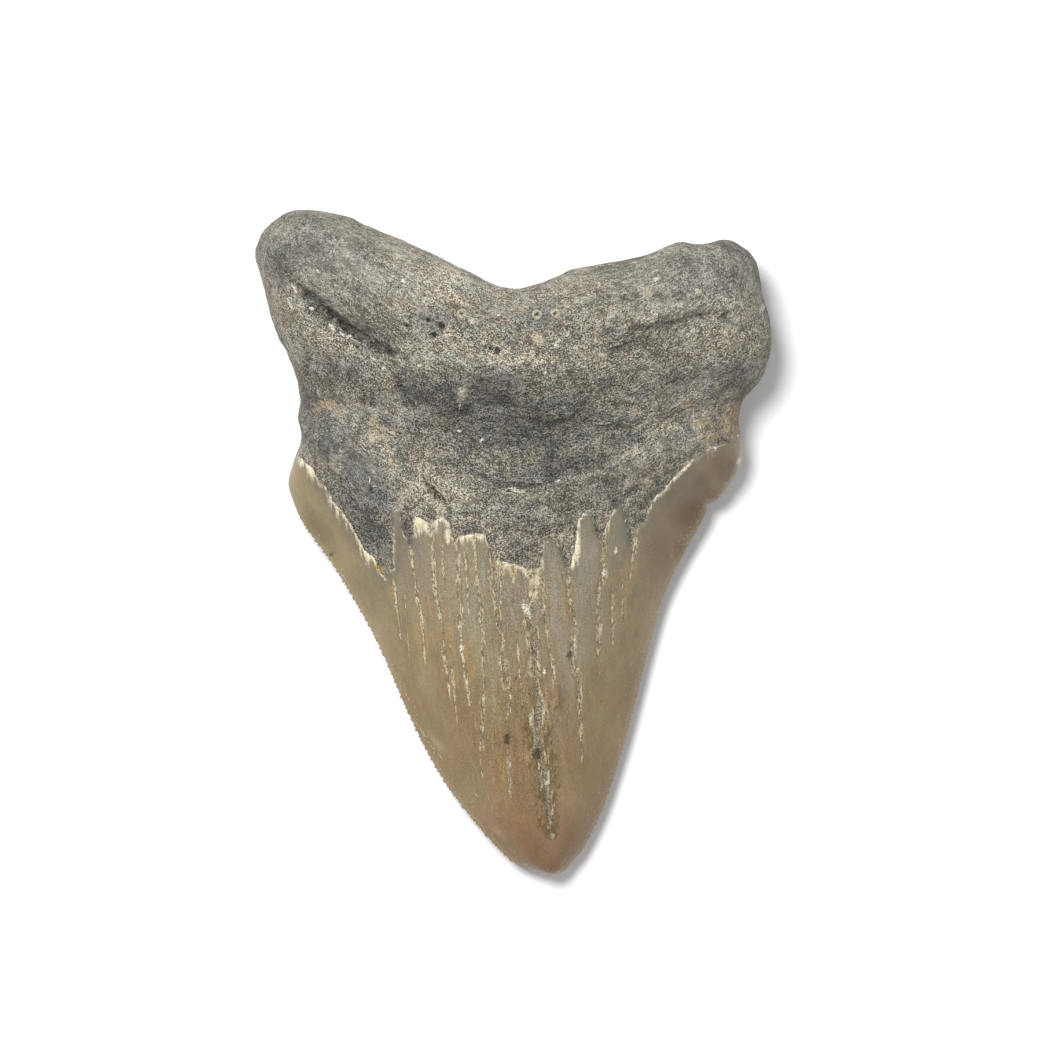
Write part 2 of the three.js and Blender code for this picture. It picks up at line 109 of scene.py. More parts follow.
TOP_SIDE = [
    LEFT_CORNER, (-30.6, 43.8), (-27.6, 44.4), (-22, 43.5), (-19.9, 42.5), (-12.3, 39.3),
    (-3.6, 35.1), (-1.2, 34.3), (1.2, 34.4), (5.6, 35.9), (7.6, 36.9), (12.4, 37.7), (17.3, 38.9),
    (21.1, 40.5), (24.4, 40.4), (27.9, 40.8), RIGHT_CORNER,
]


def smooth_curve(points, parts=24):
    """A curve that passes through each point, as a closely spaced chain."""
    p = np.array(points, float)
    p = np.vstack([p[:1], p, p[-1:]])
    t = np.linspace(0, 1, parts, endpoint=False)[:, None]
    chain = []
    for before, start, end, after in zip(p, p[1:], p[2:], p[3:]):
        leave, arrive = (end - before) / 2, (after - start) / 2
        bend = 2 * start - 2 * end + leave + arrive
        turn = -3 * start + 3 * end - 2 * leave - arrive
        chain.append(bend * t**3 + turn * t**2 + leave * t + start)
    return np.vstack([*chain, p[-1:]])


def lengths_along(chain):
    return np.concatenate([[0], np.cumsum(np.linalg.norm(np.diff(chain, axis=0), axis=1))])


def at_share(chain, share):
    """Points of a chain at shares of its length, from 0 to 1."""
    travelled = lengths_along(chain)
    there = share * travelled[-1]
    return np.stack([np.interp(there, travelled, chain[:, k]) for k in (0, 1)], axis=-1)


left_side, right_side, top_side = (smooth_curve(side) for side in (LEFT_SIDE, RIGHT_SIDE, TOP_SIDE))
outline = np.vstack([left_side[::2], top_side[::2], right_side[::-2]])
print("outline points:", len(outline))
print("left edge, mm:", round(lengths_along(left_side)[-1], 1))

# %% [markdown]
# Seen from the side, the inner face climbs from the thin tip to the bulge of the root, and the outer
# face is nearly flat. Each of these lines is a few heights above the table, at shares of the way from
# the tip to the root's top. A curve through the knots keeps them smooth.

# %% Heights along the middle and along the rim
EDGE_HEIGHT = [(0, 3.3), (0.2, 3.1), (0.5, 3.6), (0.65, 4.6), (0.8, 6.2), (1, 7.2)]
INNER_CREST = [
    (0, 4.9), (0.04, 5.9), (0.1, 7.5), (0.25, 10.6), (0.4, 12.9), (0.55, 14.7), (0.66, 15.6),
    (0.74, 16.6), (0.82, 19.2), (0.88, 20.6), (0.94, 20), (1, 18.6),
]
OUTER_CREST = [
    (0, 2.4), (0.05, 1.5), (0.12, 0.5), (0.2, -0.18), (0.42, -0.18), (0.55, 0.3), (0.66, 1.2),
    (0.74, 1.5), (0.84, 0.7), (0.92, 0.2), (1, 0.5),
]


def height_curve(knots, share):
    places, values = np.array(knots, float).T
    slopes = np.gradient(values)
    slopes[1:-1] = (values[2:] - values[:-2]) / (places[2:] - places[:-2])
    slopes[0] = (values[1] - values[0]) / (places[1] - places[0])
    slopes[-1] = (values[-1] - values[-2]) / (places[-1] - places[-2])
    i = np.clip(np.searchsorted(places, share, side="right") - 1, 0, len(places) - 2)
    gap = places[i + 1] - places[i]
    t = np.clip((share - places[i]) / gap, 0, 1)
    start = values[i] * (1 + 2 * t) * (1 - t) ** 2 + slopes[i] * gap * t * (1 - t) ** 2
    end = values[i + 1] * (3 - 2 * t) * t**2 - slopes[i + 1] * gap * (1 - t) * t**2
    return start + end


print("highest knot above the table, mm:", max(height for _, height in INNER_CREST))

# %% [markdown]
# Most marks on this tooth follow a line: the ragged border of the enamel, the ledges of the root, the
# cracks. Each needs to know how far a point is from the line, on which side of it, and how far along.
# That is one sum for a straight piece, done for all pieces, and the nearest one is kept.

# %% How far a place is from a line
def nearest_on(chain, xy, batch=6000):
    """Distance to a chain of points, the side of it (+1 to its left) and the share along it."""
    start, run = chain[:-1], np.diff(chain, axis=0)
    size = np.maximum((run**2).sum(1), TINY**2)
    travelled = lengths_along(chain)
    far, side, share = np.empty(len(xy)), np.empty(len(xy)), np.empty(len(xy))
    for first in range(0, len(xy), batch):
        rows = slice(first, first + batch)
        offset = xy[rows, None, :] - start[None]
        along = np.clip((offset * run).sum(2) / size, 0, 1)
        gap = offset - along[..., None] * run
        squared = (gap**2).sum(2)
        best = squared.argmin(1)
        pick = np.arange(len(best))
        far[rows] = np.sqrt(squared[pick, best])
        cross = run[best, 0] * offset[pick, best, 1] - run[best, 1] * offset[pick, best, 0]
        side[rows] = np.where(cross >= 0, 1.0, -1.0)
        step = travelled[best + 1] - travelled[best]
        share[rows] = (travelled[best] + along[pick, best] * step) / travelled[-1]
    return far, side, share


# %% [markdown]
# Each face of the tooth starts as a flat grid. Its columns run from the left edge to the right one and
# its rows from the tip to the top, so they bend into a V like the growth of the real tooth. The rows
# are closest together where the outline is round: at the tip and at the rim of the root.

# %% Columns and rows of the two faces
COLUMNS = 156
RIM_COLUMNS = 0.14
RIM_WIDTH = 0.08
TIP_ROWS = 16
BLADE_ROWS = 150
ROOT_ROWS = 96
RIM_ROWS = 24
ROWS = TIP_ROWS + BLADE_ROWS + ROOT_ROWS + RIM_ROWS
BLADE_FROM = 0.035
BLADE_TO = 0.63
RIM_FROM = 0.9
EDGE_BLUR = 0.035
BLUR_COMES = (0.08, 0.25)
BLUR_READS = 9
EDGE_PULL = 0.9


def spread_across(t):
    edge = np.minimum(t, 1 - t)
    rim = RIM_WIDTH * (1 - np.cos(pi / 2 * np.minimum(edge / RIM_COLUMNS, 1)))
    inner = mix(RIM_WIDTH, 0.5, (edge - RIM_COLUMNS) / (0.5 - RIM_COLUMNS))
    share = np.where(edge < RIM_COLUMNS, rim, inner)
    return np.where(t < 0.5, share, 1 - share)


def spread_along(t):
    row = t * ROWS
    stations = np.cumsum([0, TIP_ROWS, BLADE_ROWS, ROOT_ROWS])
    even = np.interp(row, stations, [0, BLADE_FROM, BLADE_TO, RIM_FROM])
    rim = RIM_FROM + (1 - RIM_FROM) * np.sin(pi / 2 * np.clip((row - stations[-1]) / RIM_ROWS, 0, 1))
    return np.where(row > stations[-1], rim, even)


def place_in_outline(across, along):
    """Rows run to an evened right edge, and only their ends are pulled to the real, chipped one."""
    left, right, top = at_share(left_side, along), at_share(right_side, along), at_share(top_side, across)
    blur = EDGE_BLUR * smoothstep(*BLUR_COMES, along)
    steps = np.linspace(-1, 1, BLUR_READS)
    evened = np.mean([at_share(right_side, along + blur * step) for step in steps], axis=0)
    right = mix(evened, right, smoothstep(EDGE_PULL, 1, across)[:, None])
    corner = mix(np.array(LEFT_CORNER), np.array(RIGHT_CORNER), across[:, None])
    return mix(left, right, across[:, None]) + along[:, None] * (top - corner)


print("triangles of the two grids:", 4 * COLUMNS * ROWS)

# %% [markdown]
# The root is a block with a rounded rim, while the blade is a lens with sharp edges. One formula gives
# both and slides from the one to the other. On top come the slow swellings and hollows that make the
# root look like bone: the two lobes, the ridge between them and the dark hollow under it.

# %% Swellings and hollows
LENS_POWER, LENS_EASE = 2.1, 0.95
FLAT_POWER = 3.2
ROOT_FALL = 0.4
ROOT_ROUND, ROOT_POWER = 7.0, 2.2
TIP_ROUND = 0.045
ROOT_STARTS, ROOT_FULL = 0.56, 0.74

# Middle x and y, reach along and across, turn in degrees, height.
INNER_FORMS = [
    (3.5, 14.5, 16, 5.5, 0, -2.2),
    (-22, 36, 12, 5.5, -24, 1.1),
    (20, 34, 13, 4.5, 8, 1),
    (-25, 20, 5, 6, 0, -1.1),
    (25, 18.5, 6, 6, 0, -1),
    (0, 32.5, 5.5, 3, 0, -1.1),
    (-9.6, 7, 4, 1.8, -35, 0.7),
]
OUTER_FORMS = [
    (0, 26, 13, 9, 0, -1.6),
    (-22, 31, 9, 7, 0, 0.7),
    (22, 29, 9, 7, 0, 0.7),
]
LIP = smooth_curve([(-15.0, 12.5), (-8.5, 8.6), (-2.0, 7.2), (4.5, 7.0), (11.0, 8.4), (18.5, 12.2)])
LIP_RISE = 0.75
LIP_REACH = 2.2
LIP_ENDS = 0.7
# Height of each slow wave, how fast it runs along x and y, and where it starts.
WAVES = [(0.16, 0.62, 0.35, 1.2), (0.14, -0.41, 0.83, 0.4), (0.09, 1.13, 0.92, 2.6)]


def turned(x, y, cx, cy, turn):
    """The way from a middle to each place, along and across a direction turned by some degrees."""
    c, s = np.cos(turn * pi / 180), np.sin(turn * pi / 180)
    return (x - cx) * c + (y - cy) * s, (y - cy) * c - (x - cx) * s


def spot(x, y, cx, cy, along, across, turn=0):
    """A soft round spot: 1 in its middle and fading out, longer one way and turned."""
    dx, dy = turned(x, y, cx, cy, turn)
    return np.exp(-((dx / along) ** 2) - (dy / across) ** 2)


def swellings(forms, x, y):
    return sum(form[-1] * spot(x, y, *form[:-1]) for form in forms)


def slow_waves(x, y):
    return sum(height * np.sin(by_x * x + by_y * y + start) for height, by_x, by_y, start in WAVES)


def base_height(face, across, along, xy):
    """The height of one face in mm, before its small marks, and how much of it is root."""
    x, y = xy.T
    out = np.abs(2 * across - 1)
    middle = height_curve(EDGE_HEIGHT, along)
    rootness = smoothstep(ROOT_STARTS, ROOT_FULL, along)
    inward = np.clip(nearest_on(outline, xy)[0] / ROOT_ROUND, 0, 1)
    rim = np.sqrt(1 - (1 - inward) ** ROOT_POWER)
    tip = np.sqrt(1 - (1 - np.clip(along / TIP_ROUND, 0, 1)) ** 2)
    on_root = rootness * rim
    if face == "inner":
        lens = (1 - out**LENS_POWER) ** LENS_EASE
        share = mix(lens * tip, rim * (1 - ROOT_FALL * out**2), rootness)
        far, _, lip_share = nearest_on(LIP, xy)
        lip = LIP_RISE * np.sin(pi * lip_share) ** LIP_ENDS * np.exp(-((far / LIP_REACH) ** 2))
        relief = swellings(INNER_FORMS, x, y) + lip + slow_waves(x, y)
        height = middle + (height_curve(INNER_CREST, along) - middle) * share + on_root * relief
        return height, share
    lens = 1 - out**FLAT_POWER
    share = mix(lens * tip, rim, rootness)
    relief = swellings(OUTER_FORMS, x, y) + slow_waves(y, x)
    drop = (middle - height_curve(OUTER_CREST, along)) * share
    return np.maximum(middle - drop - on_root * relief, 0), share


print("swellings and hollows:", len(INNER_FORMS), "inside,", len(OUTER_FORMS), "outside")

# %% [markdown]
# The enamel ends in broken fingers, with the dark dentine showing between them. It is a layer less than
# a millimetre thick, so its border is a small step down. The border is a line of straight bits, kept
# sharp, and on the outer face it sits higher up.

# %% The enamel's border
ENAMEL_THICK = 0.8
LAYER_FADES = (0.63, 0.79)
INNER_BORDER = np.array([
    (-40, 18), (-31, 12.6), (-28.7, 11.7), (-27.1, 10.3), (-26.1, 8.8), (-24.8, 7), (-23.4, 4.8),
    (-22, 2.9), (-20.7, 0.7), (-19.9, -0.6), (-18.5, -2), (-17.7, -3.9), (-17, -4.7),
    (-16.5, -3.6), (-16, -3.4), (-15.9, 4.2), (-15.1, 4.8), (-14.7, 1.7), (-13.6, -0.9),
    (-13.1, 3.7), (-12.2, 3.3), (-11, 2.4), (-10.2, 3.1), (-9.3, 3.7), (-8.4, 2.6), (-8.2, 1),
    (-7.6, 0.7), (-5.7, 1.3), (-3.8, 1), (-3, -0.9), (-2.6, -2.3), (-1.4, -2.5), (0.3, -2.8),
    (1.6, -3.4), (3.5, -3.4), (4.1, -0.1), (4.4, 0.6), (5.7, 0.6), (6.3, -0.9), (7.1, -3.1),
    (7.6, -3.2), (8.1, -0.9), (8.4, 1.9), (8.6, 3.2), (9.6, 3.8), (10.7, 3.2), (11, 1.4),
    (11.7, 0.6), (12.4, 2.2), (12.9, 3.7), (13.7, 4.7), (14.2, 4.7), (14.9, 3.6), (15.3, 0.8),
    (15.7, -0.7), (16.4, 1.9), (17.6, 3.1), (18.3, 5.6), (19.8, 6.9), (21, 8.5), (22.8, 10.1),
    (24.9, 11.7), (26.4, 12.6), (27.8, 13.3), (28.9, 13.6), (29.6, 14.2), (31.5, 14.6), (40, 19),
])
OUTER_BORDER = np.array([
    (-40, 18), (-31, 12.6), (-28.4, 11.4), (-25.2, 10.9), (-21, 9.1), (-15.5, 8.3), (-9, 6.9),
    (-2.5, 6.2), (4, 6.7), (10.5, 8), (16.5, 9.3), (22.5, 11.7), (27, 13.2), (31.5, 14.6), (40, 19),
])


def under_line(line, xy):
    """Whether each place is below a line, by how many of its pieces lie straight above."""
    x, y = xy.T
    crossed = np.zeros(len(xy), int)
    for (ax, ay), (bx, by) in zip(line, line[1:]):
        over = (np.minimum(ax, bx) <= x) & (x < np.maximum(ax, bx))
        level = ay + (by - ay) * (x - ax) / (bx - ax if bx != ax else 1)
        crossed += over & (level > y)
    return crossed % 2 == 1


def into_enamel(face, xy):
    """Millimetres into the enamel from its border, below zero on the root."""
    line = INNER_BORDER if face == "inner" else OUTER_BORDER
    far = nearest_on(line, xy)[0]
    return np.where(under_line(line, xy), far, -far)


print("corners of the border:", len(INNER_BORDER), "inside,", len(OUTER_BORDER), "outside")

# %% [markdown]
# The root has ledges, where a layer of bone broke away: a short wall, and a floor that climbs back to
# the face. They are cut into the grid's heights, as a carver would, and are deepest in the middle of
# their path.

# %% Ledges of the root
LEFT_CREVICE = [
    (-29.9, 36.7), (-28.8, 34.8), (-27.9, 33.4), (-26.7, 32.8), (-25.1, 31.8), (-24.2, 30.8),
    (-23.1, 30), (-21.4, 28.9), (-19.1, 27.6), (-15.7, 25.6),
]
# Path, drop, reach of the floor, and the side of the path that the floor lies on: 1 left, -1 right.
LEDGES = [
    (LEFT_CREVICE, 1.3, 6.5, -1),
    ([(29, 30.8), (25.2, 29.9), (22.1, 29.2), (18, 27.4), (12.3, 26.1)], 0.9, 4, 1),
    ([(-15.6, 21.6), (-13.8, 19), (-12.2, 16.4)], 0.8, 3, -1),
]
LEDGE_FAR_LIFT = 0.6
LEDGE_WALL = 1.5
LEDGE_LEAST, LEDGE_TAPER = 0.02, 0.8


def at_end(share):
    return (share < TINY) | (share > 1 - TINY)


def ledge_cut(xy, path, drop, reach, floor_side):
    far, side, share = nearest_on(smooth_curve(path), xy)
    ends = np.maximum(np.sin(pi * share), LEDGE_LEAST) ** LEDGE_TAPER
    over_floor = far * side * floor_side
    floor = drop - (drop + LEDGE_FAR_LIFT) * over_floor / (reach * ends)
    wall = drop * np.clip(1 + over_floor / LEDGE_WALL, 0, 1)
    return np.where(at_end(share), 0, ends * np.clip(np.minimum(floor, wall), 0, None))


print("ledges:", len(LEDGES))

# %% [markdown]
# Furrows and folds run around the ledges, like the wrinkles of old bone. Each is a path with a soft
# bell-shaped section, sunk or raised. Grain that is finer than the grid is left to the material.

# %% Furrows and folds of the root
# Path, half width in mm, depth, darkness, which is painted shade in the furrow.
FURROWS = [
    ([(-29, 34.6), (-27.6, 33.6), (-25.9, 32.1), (-23.8, 30.2), (-21.6, 28.6), (-19.3, 27.1),
      (-15.2, 25)], 0.9, 0.7, 1),
    ([(-23.4, 29.6), (-22, 28.9), (-20.2, 27.9), (-18.6, 26.8)], 0.45, 0.4, 1),
    ([(-32.4, 38.6), (-31.4, 37.2), (-29.7, 35.6)], 0.5, 0.35, 0.45),
    ([(12.5, 25.3), (14.9, 26.1), (17.3, 26.8), (19.7, 27.6)], 0.5, 0.4, 0.6),
    ([(14.9, 28.4), (18.3, 28.6), (22.1, 29.3), (24, 29.9), (26.5, 30.6)], 0.55, 0.5, 0.65),
    ([(26.8, 29.6), (27.8, 30.1), (28.7, 30.9)], 0.45, 0.4, 0.6),
    ([(13.2, 32), (14.8, 32.4), (16.6, 33.2)], 0.5, 0.25, 0.4),
    ([(-10.8, 31.9), (-7.1, 31.2), (-4.2, 30.8), (-2.6, 31.2)], 0.5, 0.35, 0.5),
    ([(-5.9, 10.1), (-4.5, 9.2), (-3, 8.4), (-1.1, 7.8), (2, 7.5), (4.5, 7.9)], 0.4, 0.35, 0.7),
    ([(-11.9, 8.3), (-10.8, 7.2), (-9.9, 6.4), (-8.5, 5)], 0.45, 0.5, 0.9),
    ([(-8.1, 3.4), (-7, 3.9), (-5.5, 3.8), (-3.6, 4.2)], 0.22, 0.25, 0.8),
    ([(-0.1, 3.7), (0.6, 3.3), (1.6, 2.6)], 0.22, 0.2, 0.7),
    ([(-15.5, 21.3), (-13.9, 19.2), (-12.6, 17.3)], 0.5, 0.4, 0.65),
    ([(16, 15.9), (15.7, 15), (15.3, 14)], 0.4, 0.4, 0.6),
    ([(30.9, 23.2), (29.2, 21.2), (27.8, 19.7), (26.3, 17.2)], 0.4, 0.35, 0.4),
    ([(32, 21.6), (30.6, 19.9), (29.3, 18.2)], 0.35, 0.3, 0.4),
    ([(-28.3, 28.2), (-27.5, 25.6), (-27.2, 22.8)], 0.5, 0.3, 0.35),
    ([(-19.9, 19.4), (-19.6, 17.6), (-18.9, 15.6)], 0.45, 0.3, 0.4),
]
# Path, half width in mm, rise, paleness, which is a painted highlight along the fold's crest.
FOLDS = [
    ([(-28.5, 35.6), (-26.4, 33.7), (-23.8, 31.8), (-21.2, 30.2), (-18.6, 28.9)], 0.9, 0.35, 0.35),
    ([(-13.6, 9.6), (-11.5, 9.3), (-9.8, 8.2), (-8, 7), (-6.2, 5.7), (-4.4, 5.2)], 0.8, 0.45, 0.75),
    ([(4.3, 6.3), (7.2, 8.1), (10.7, 9.2), (15.5, 11.3), (18.6, 12.3)], 0.8, 0.35, 0.6),
    ([(-16.4, 13.3), (-16.2, 11), (-16.1, 8.6), (-16.2, 5.6)], 0.5, 0.3, 1),
    ([(17, 18.3), (16.4, 17.2), (15.7, 15.8)], 0.6, 0.4, 0.3),
    ([(-20.4, 18.6), (-18.9, 17.2), (-17.8, 15.2)], 0.8, 0.3, 0.2),
    ([(-31.8, 35.4), (-30.9, 32.5), (-30.2, 30.4)], 0.5, 0.3, 0.5),
    ([(-30.4, 34.2), (-29.6, 32.2), (-28.9, 30.9)], 0.35, 0.25, 0.6),
    ([(-0.4, 7.1), (0.7, 6.9), (2, 6.6)], 0.4, 0.25, 0.8),
    ([(-13.2, 8.2), (-12.6, 6.9), (-11.2, 5.6)], 0.7, 0.3, 0.5),
]
FOLD_PARTS = 8


def fading_ends(share):
    return np.sqrt(np.sin(pi * share).clip(0))


def bell(path, half, xy):
    """1 on a path and fading out to both sides and towards its ends."""
    far, _, share = nearest_on(smooth_curve(path, FOLD_PARTS), xy)
    return np.exp(-((far / half) ** 2)) * fading_ends(share)


def folded(xy):
    height = np.zeros(len(xy))
    for ledge in LEDGES:
        height -= ledge_cut(xy, *ledge)
    for path, half, depth, _ in FURROWS:
        height -= depth * bell(path, half, xy)
    for path, half, rise, _ in FOLDS:
        height += rise * bell(path, half, xy)
    return height


print("furrows and folds:", len(FURROWS), len(FOLDS))

# %% [markdown]
# Blood vessels once entered the root through small round holes, most of them in the ridge between the
# lobes. Some have a pale raised ring. A few lumps are scattered over the root, and a shallow bite is
# missing from the enamel at the right edge.

# %% Lumps, holes and the bite
# Middle x and y, half sizes along X and Y, rise.
LUMPS = [
    (-6.9, 19.9, 1.1, 1.3, 0.6), (15.7, 16, 0.7, 2.2, 0.5), (3.4, 26.8, 0.9, 0.7, 0.4),
    (-5.3, 29.3, 0.7, 0.6, 0.35), (24.3, 33.2, 1.2, 0.8, 0.3), (11.8, 24.6, 0.8, 0.6, 0.25),
    (-18.7, 13.7, 0.9, 0.8, 0.35),
]
# Middle x and y, radius of the dark hole, how pale its ring is.
HOLES = [
    (-11.2, 29.4, 0.24, 0.1), (-9.5, 28.7, 0.36, 0.1), (-10.5, 27.5, 0.26, 0.1), (-6.8, 30.3, 0.21, 0.8),
    (-4.8, 30.4, 0.17, 0.4), (-5.7, 32.8, 0.15, 0.9), (-14, 28.7, 0.16, 0.1), (3.1, 30.2, 0.21, 1),
    (5.5, 30.4, 0.2, 0.7), (-2.1, 25.4, 0.28, 0.1), (-3, 25.7, 0.18, 0), (5, 27.6, 0.12, 0.5),
    (-20.6, 25.9, 0.2, 0), (-22.9, 29.2, 0.24, 0), (-24.4, 30.6, 0.2, 0),
]
HOLE_DEPTH, HOLE_FLARE = 0.7, 1.6
RING_RISE, RING_RADIUS = 0.12, 2.2
# The bite's middle x and y, reach along and across, and turn in degrees.
BITE = (25.6, 6.9, 1.9, 1.3, 40)
BITE_DEPTH = 0.5


def lumps_and_holes(xy):
    x, y = xy.T
    height = np.zeros(len(xy))
    for cx, cy, half_x, half_y, rise in LUMPS:
        height += rise * np.clip(1 - ((x - cx) / half_x) ** 2 - ((y - cy) / half_y) ** 2, 0, 1)
    for cx, cy, radius, ring in HOLES:
        away = np.hypot(x - cx, y - cy) / radius
        height -= HOLE_DEPTH * np.clip(1 - (away / HOLE_FLARE) ** 2, 0, 1)
        height += RING_RISE * ring * np.exp(-((away - RING_RADIUS) ** 2))
    return height


print("lumps and holes:", len(LUMPS), len(HOLES))

# %% [markdown]
# Long cracks run down the blade. They opened as the tooth dried, and filled with pale mineral, ochre
# and dirt. Each is a path from the top down, with its greatest width and how dark its filling is. The
# outer face lies on the table, where no photo shows it, and gets only a few.

# %% Cracks
# Path, greatest width in mm, darkness of the filling.
INNER_CRACKS = [
    ([(2.2, -9.4), (2.5, -11.2), (2.7, -13.4), (2.8, -15.8), (3, -18.6), (3.2, -22.5)], 1.45, 0.75),
    ([(3, -19.6), (3.2, -21.5), (3.2, -25), (3.5, -27.8), (4.1, -30), (4.3, -32.4), (4.6, -35.4),
      (4.9, -38), (5.2, -39.8)], 1.6, 1),
    ([(2.7, -2.6), (2.8, -4.6), (3.2, -7.4)], 2.1, 0),
    ([(2.2, -6.4), (2.3, -8.6), (2.5, -11)], 0.7, 0.4),
    ([(-0.1, -3), (0, -5.4)], 0.6, 0),
    ([(-2.9, -1.2), (-2.6, -4.5), (-2.1, -8), (-1.7, -13.1), (-1.2, -17.2), (-0.7, -21.8),
      (-0.8, -25.9), (-0.7, -28.4)], 0.95, 0.7),
    ([(-0.7, -27), (-0.6, -30.4), (-0.3, -34.9)], 0.36, 0.6),
    ([(-7.6, 0.9), (-7.3, -4.5), (-7.1, -8.5), (-6.9, -13.9), (-6.4, -17.2), (-5.9, -21.1), (-5.5, -24.1)],
     0.68, 0.25),
    ([(7.2, -4.5), (7.5, -8), (8, -11.1), (7.7, -14.7), (8.4, -17.2), (8.7, -21.1), (8.9, -23.4),
      (9.1, -26.7), (9, -29.7)], 0.85, 0.5),
    ([(-11, 2.4), (-10.6, -1.9), (-10.3, -6.5), (-9.6, -10.9), (-9, -15.9), (-8.3, -21.3)], 0.62, 0.25),
    ([(12.2, 2.2), (11.8, -1.9), (12.1, -4.2), (11.4, -5.7), (11.4, -9.6), (11.3, -13.7), (11.5, -18.5)],
     0.7, 0.3),
    ([(-13.6, -0.9), (-13.2, -4.5), (-12.8, -7), (-12.1, -10.9), (-11.7, -16.7)], 0.5, 0.2),
    ([(-5.2, 0.6), (-4.9, -4.5), (-4.5, -8.5), (-4.1, -13.1), (-3.9, -17.2), (-4.1, -24.6), (-3.9, -28.5)],
     0.58, 0.25),
    ([(3.8, -3.7), (4, -8.5), (4.4, -12.1), (4.9, -14.7), (5.3, -17.2), (5.4, -19.8)], 0.68, 0.4),
    ([(-15.9, -5.2), (-15.4, -9.5), (-15, -13)], 0.4, 0.1),
    ([(-1.6, -2.9), (-1.7, -7)], 0.45, 0.3),
    ([(13.2, -7), (13.3, -13.9)], 0.3, 0.3),
    ([(14.5, -5.7), (14.5, -10.6)], 0.3, 0.3),
    ([(16.3, 0.6), (15.5, -5.2)], 0.4, 0.4),
    ([(-8.4, -14), (-8, -18.5), (-7.4, -24.3)], 0.35, 0.3),
    ([(0.4, -12), (0.8, -17), (1.2, -22)], 0.22, 0.1),
    ([(-14.4, -7.2), (-14.2, -11), (-13.8, -16)], 0.2, 0.2),
    ([(-9.4, 0.5), (-9.3, -3.5), (-9, -7)], 0.3, 0.1),
    ([(-6.4, -1.5), (-6.1, -6), (-5.9, -10)], 0.28, 0.2),
    ([(-4.2, -24), (-4.4, -28), (-4.1, -31.5)], 0.3, 0.3),
]
OUTER_CRACKS = [
    ([(1, 6), (0.6, -2), (1.4, -12), (2.2, -24)], 0.45, 0.5),
    ([(-8, 7), (-7, -4), (-5.6, -15)], 0.35, 0.3),
    ([(10, 7.6), (9.6, -3), (9, -12)], 0.35, 0.3),
]
CRACK_DEPTH = 0.45
CRACK_TAPER, CRACK_CLOSES = 0.65, 0.95
MARK_PARTS = 6


def crack_width_left(share):
    return (1 - CRACK_TAPER * share**2) * smoothstep(1.0, CRACK_CLOSES, share)


def crack_cut(cracks, xy):
    cut = np.zeros(len(xy))
    for path, width, _ in cracks:
        far, _, share = nearest_on(smooth_curve(path, MARK_PARTS), xy)
        left = crack_width_left(share)
        cut = np.maximum(cut, CRACK_DEPTH * left * np.clip(1 - far / (width / 2 * left + TINY), 0, 1))
    return cut


print("cracks:", len(INNER_CRACKS), "inside,", len(OUTER_CRACKS), "outside")

# %% [markdown]
# The cutting edges are serrated like a fine saw. The points next to an edge are pushed outwards in a
# row of rounded bumps with a nick between each two, fading out within a millimetre of the edge. The
# saw is uneven, worn off near the tip and nearly smooth on the right edge.

# %% Serrations
SERRATIONS = 90
SERRATION_OUT = 0.34
SERRATION_REACH = 1.0
NICK_DEPTH, NICK_TOP, NICK_BACK = 0.14, 0.55, 0.25
BUMP_SINKS = 0.2
BUMP_SIZE, BUMP_UNEVEN = 0.68, 0.42
# How far the bumps are shifted along the edge, how often, and where that starts.
BUMP_SHIFTS = [(0.35, 0.9, 0), (0.25, 0.53, 1)]
# Side, 1 for the left one, shares of it over which the saw comes in and goes, size of its bumps.
SAWS = [
    (left_side, 1, (0.03, 0.07), (0.62, 0.57), 1.0),
    (right_side, -1, (0.05, 0.09), (0.5, 0.45), 0.4),
]
SAW_STEP = 0.004


def outward_of(side, share, sign):
    ahead, behind = (at_share(side, np.clip(share + step, 0, 1)) for step in (SAW_STEP, -SAW_STEP))
    heading = ahead - behind
    heading /= np.maximum(np.linalg.norm(heading, axis=1), TINY)[:, None]
    return sign * np.stack([-heading[:, 1], heading[:, 0]], axis=1)


def saw(across, along, xy):
    """The way that each place is pushed in the plane, and how far it sinks in a nick."""
    turn = SERRATIONS * (along - BLADE_FROM) / (BLADE_TO - BLADE_FROM)
    turn += sum(size * np.sin(often * turn + start) for size, often, start in BUMP_SHIFTS)
    bump = np.abs(np.sin(pi * turn)) - BUMP_SINKS
    number = np.floor(turn)
    uneven = BUMP_SIZE + BUMP_UNEVEN * np.sin(2.3 * number) * np.sin(0.37 * number + 1)
    push, sunk = np.zeros_like(xy), np.zeros(len(xy))
    for side, sign, comes, goes, left in SAWS:
        mine = across < 0.5 if sign > 0 else across > 0.5
        gap = np.linalg.norm(xy - at_share(side, along), axis=1)
        near = np.clip(1 - gap / SERRATION_REACH, 0, 1)
        here = left * uneven * smoothstep(*comes, along) * smoothstep(*goes, along) * near * mine
        push += outward_of(side, along, sign) * (SERRATION_OUT * bump * here)[:, None]
        behind_rim = smoothstep(0, NICK_BACK * SERRATION_REACH, gap)
        sunk += NICK_DEPTH * np.clip(NICK_TOP - bump, 0, 1) * here * behind_rim
    return push, sunk


print("serrations along each edge:", SERRATIONS)

# %% [markdown]
# Now each face is made: a flat grid, whose points are moved to their places. Along the cutting edges
# its outermost quads are divided once more, so that the saw has points enough and the rest of the
# blade isn't crowded. The outer face is turned over, so that it looks down, and the two are joined
# along the edge by merging the points they share.

# %% The two faces, joined
SAW_COLUMNS = 3
SAW_CUTS = 2
LAYER_EASE = 0.3
BORDER_BLUR = 0.12
OUTER_CRACKS_LEFT = 0.6
MERGE_WITHIN = 1e-7


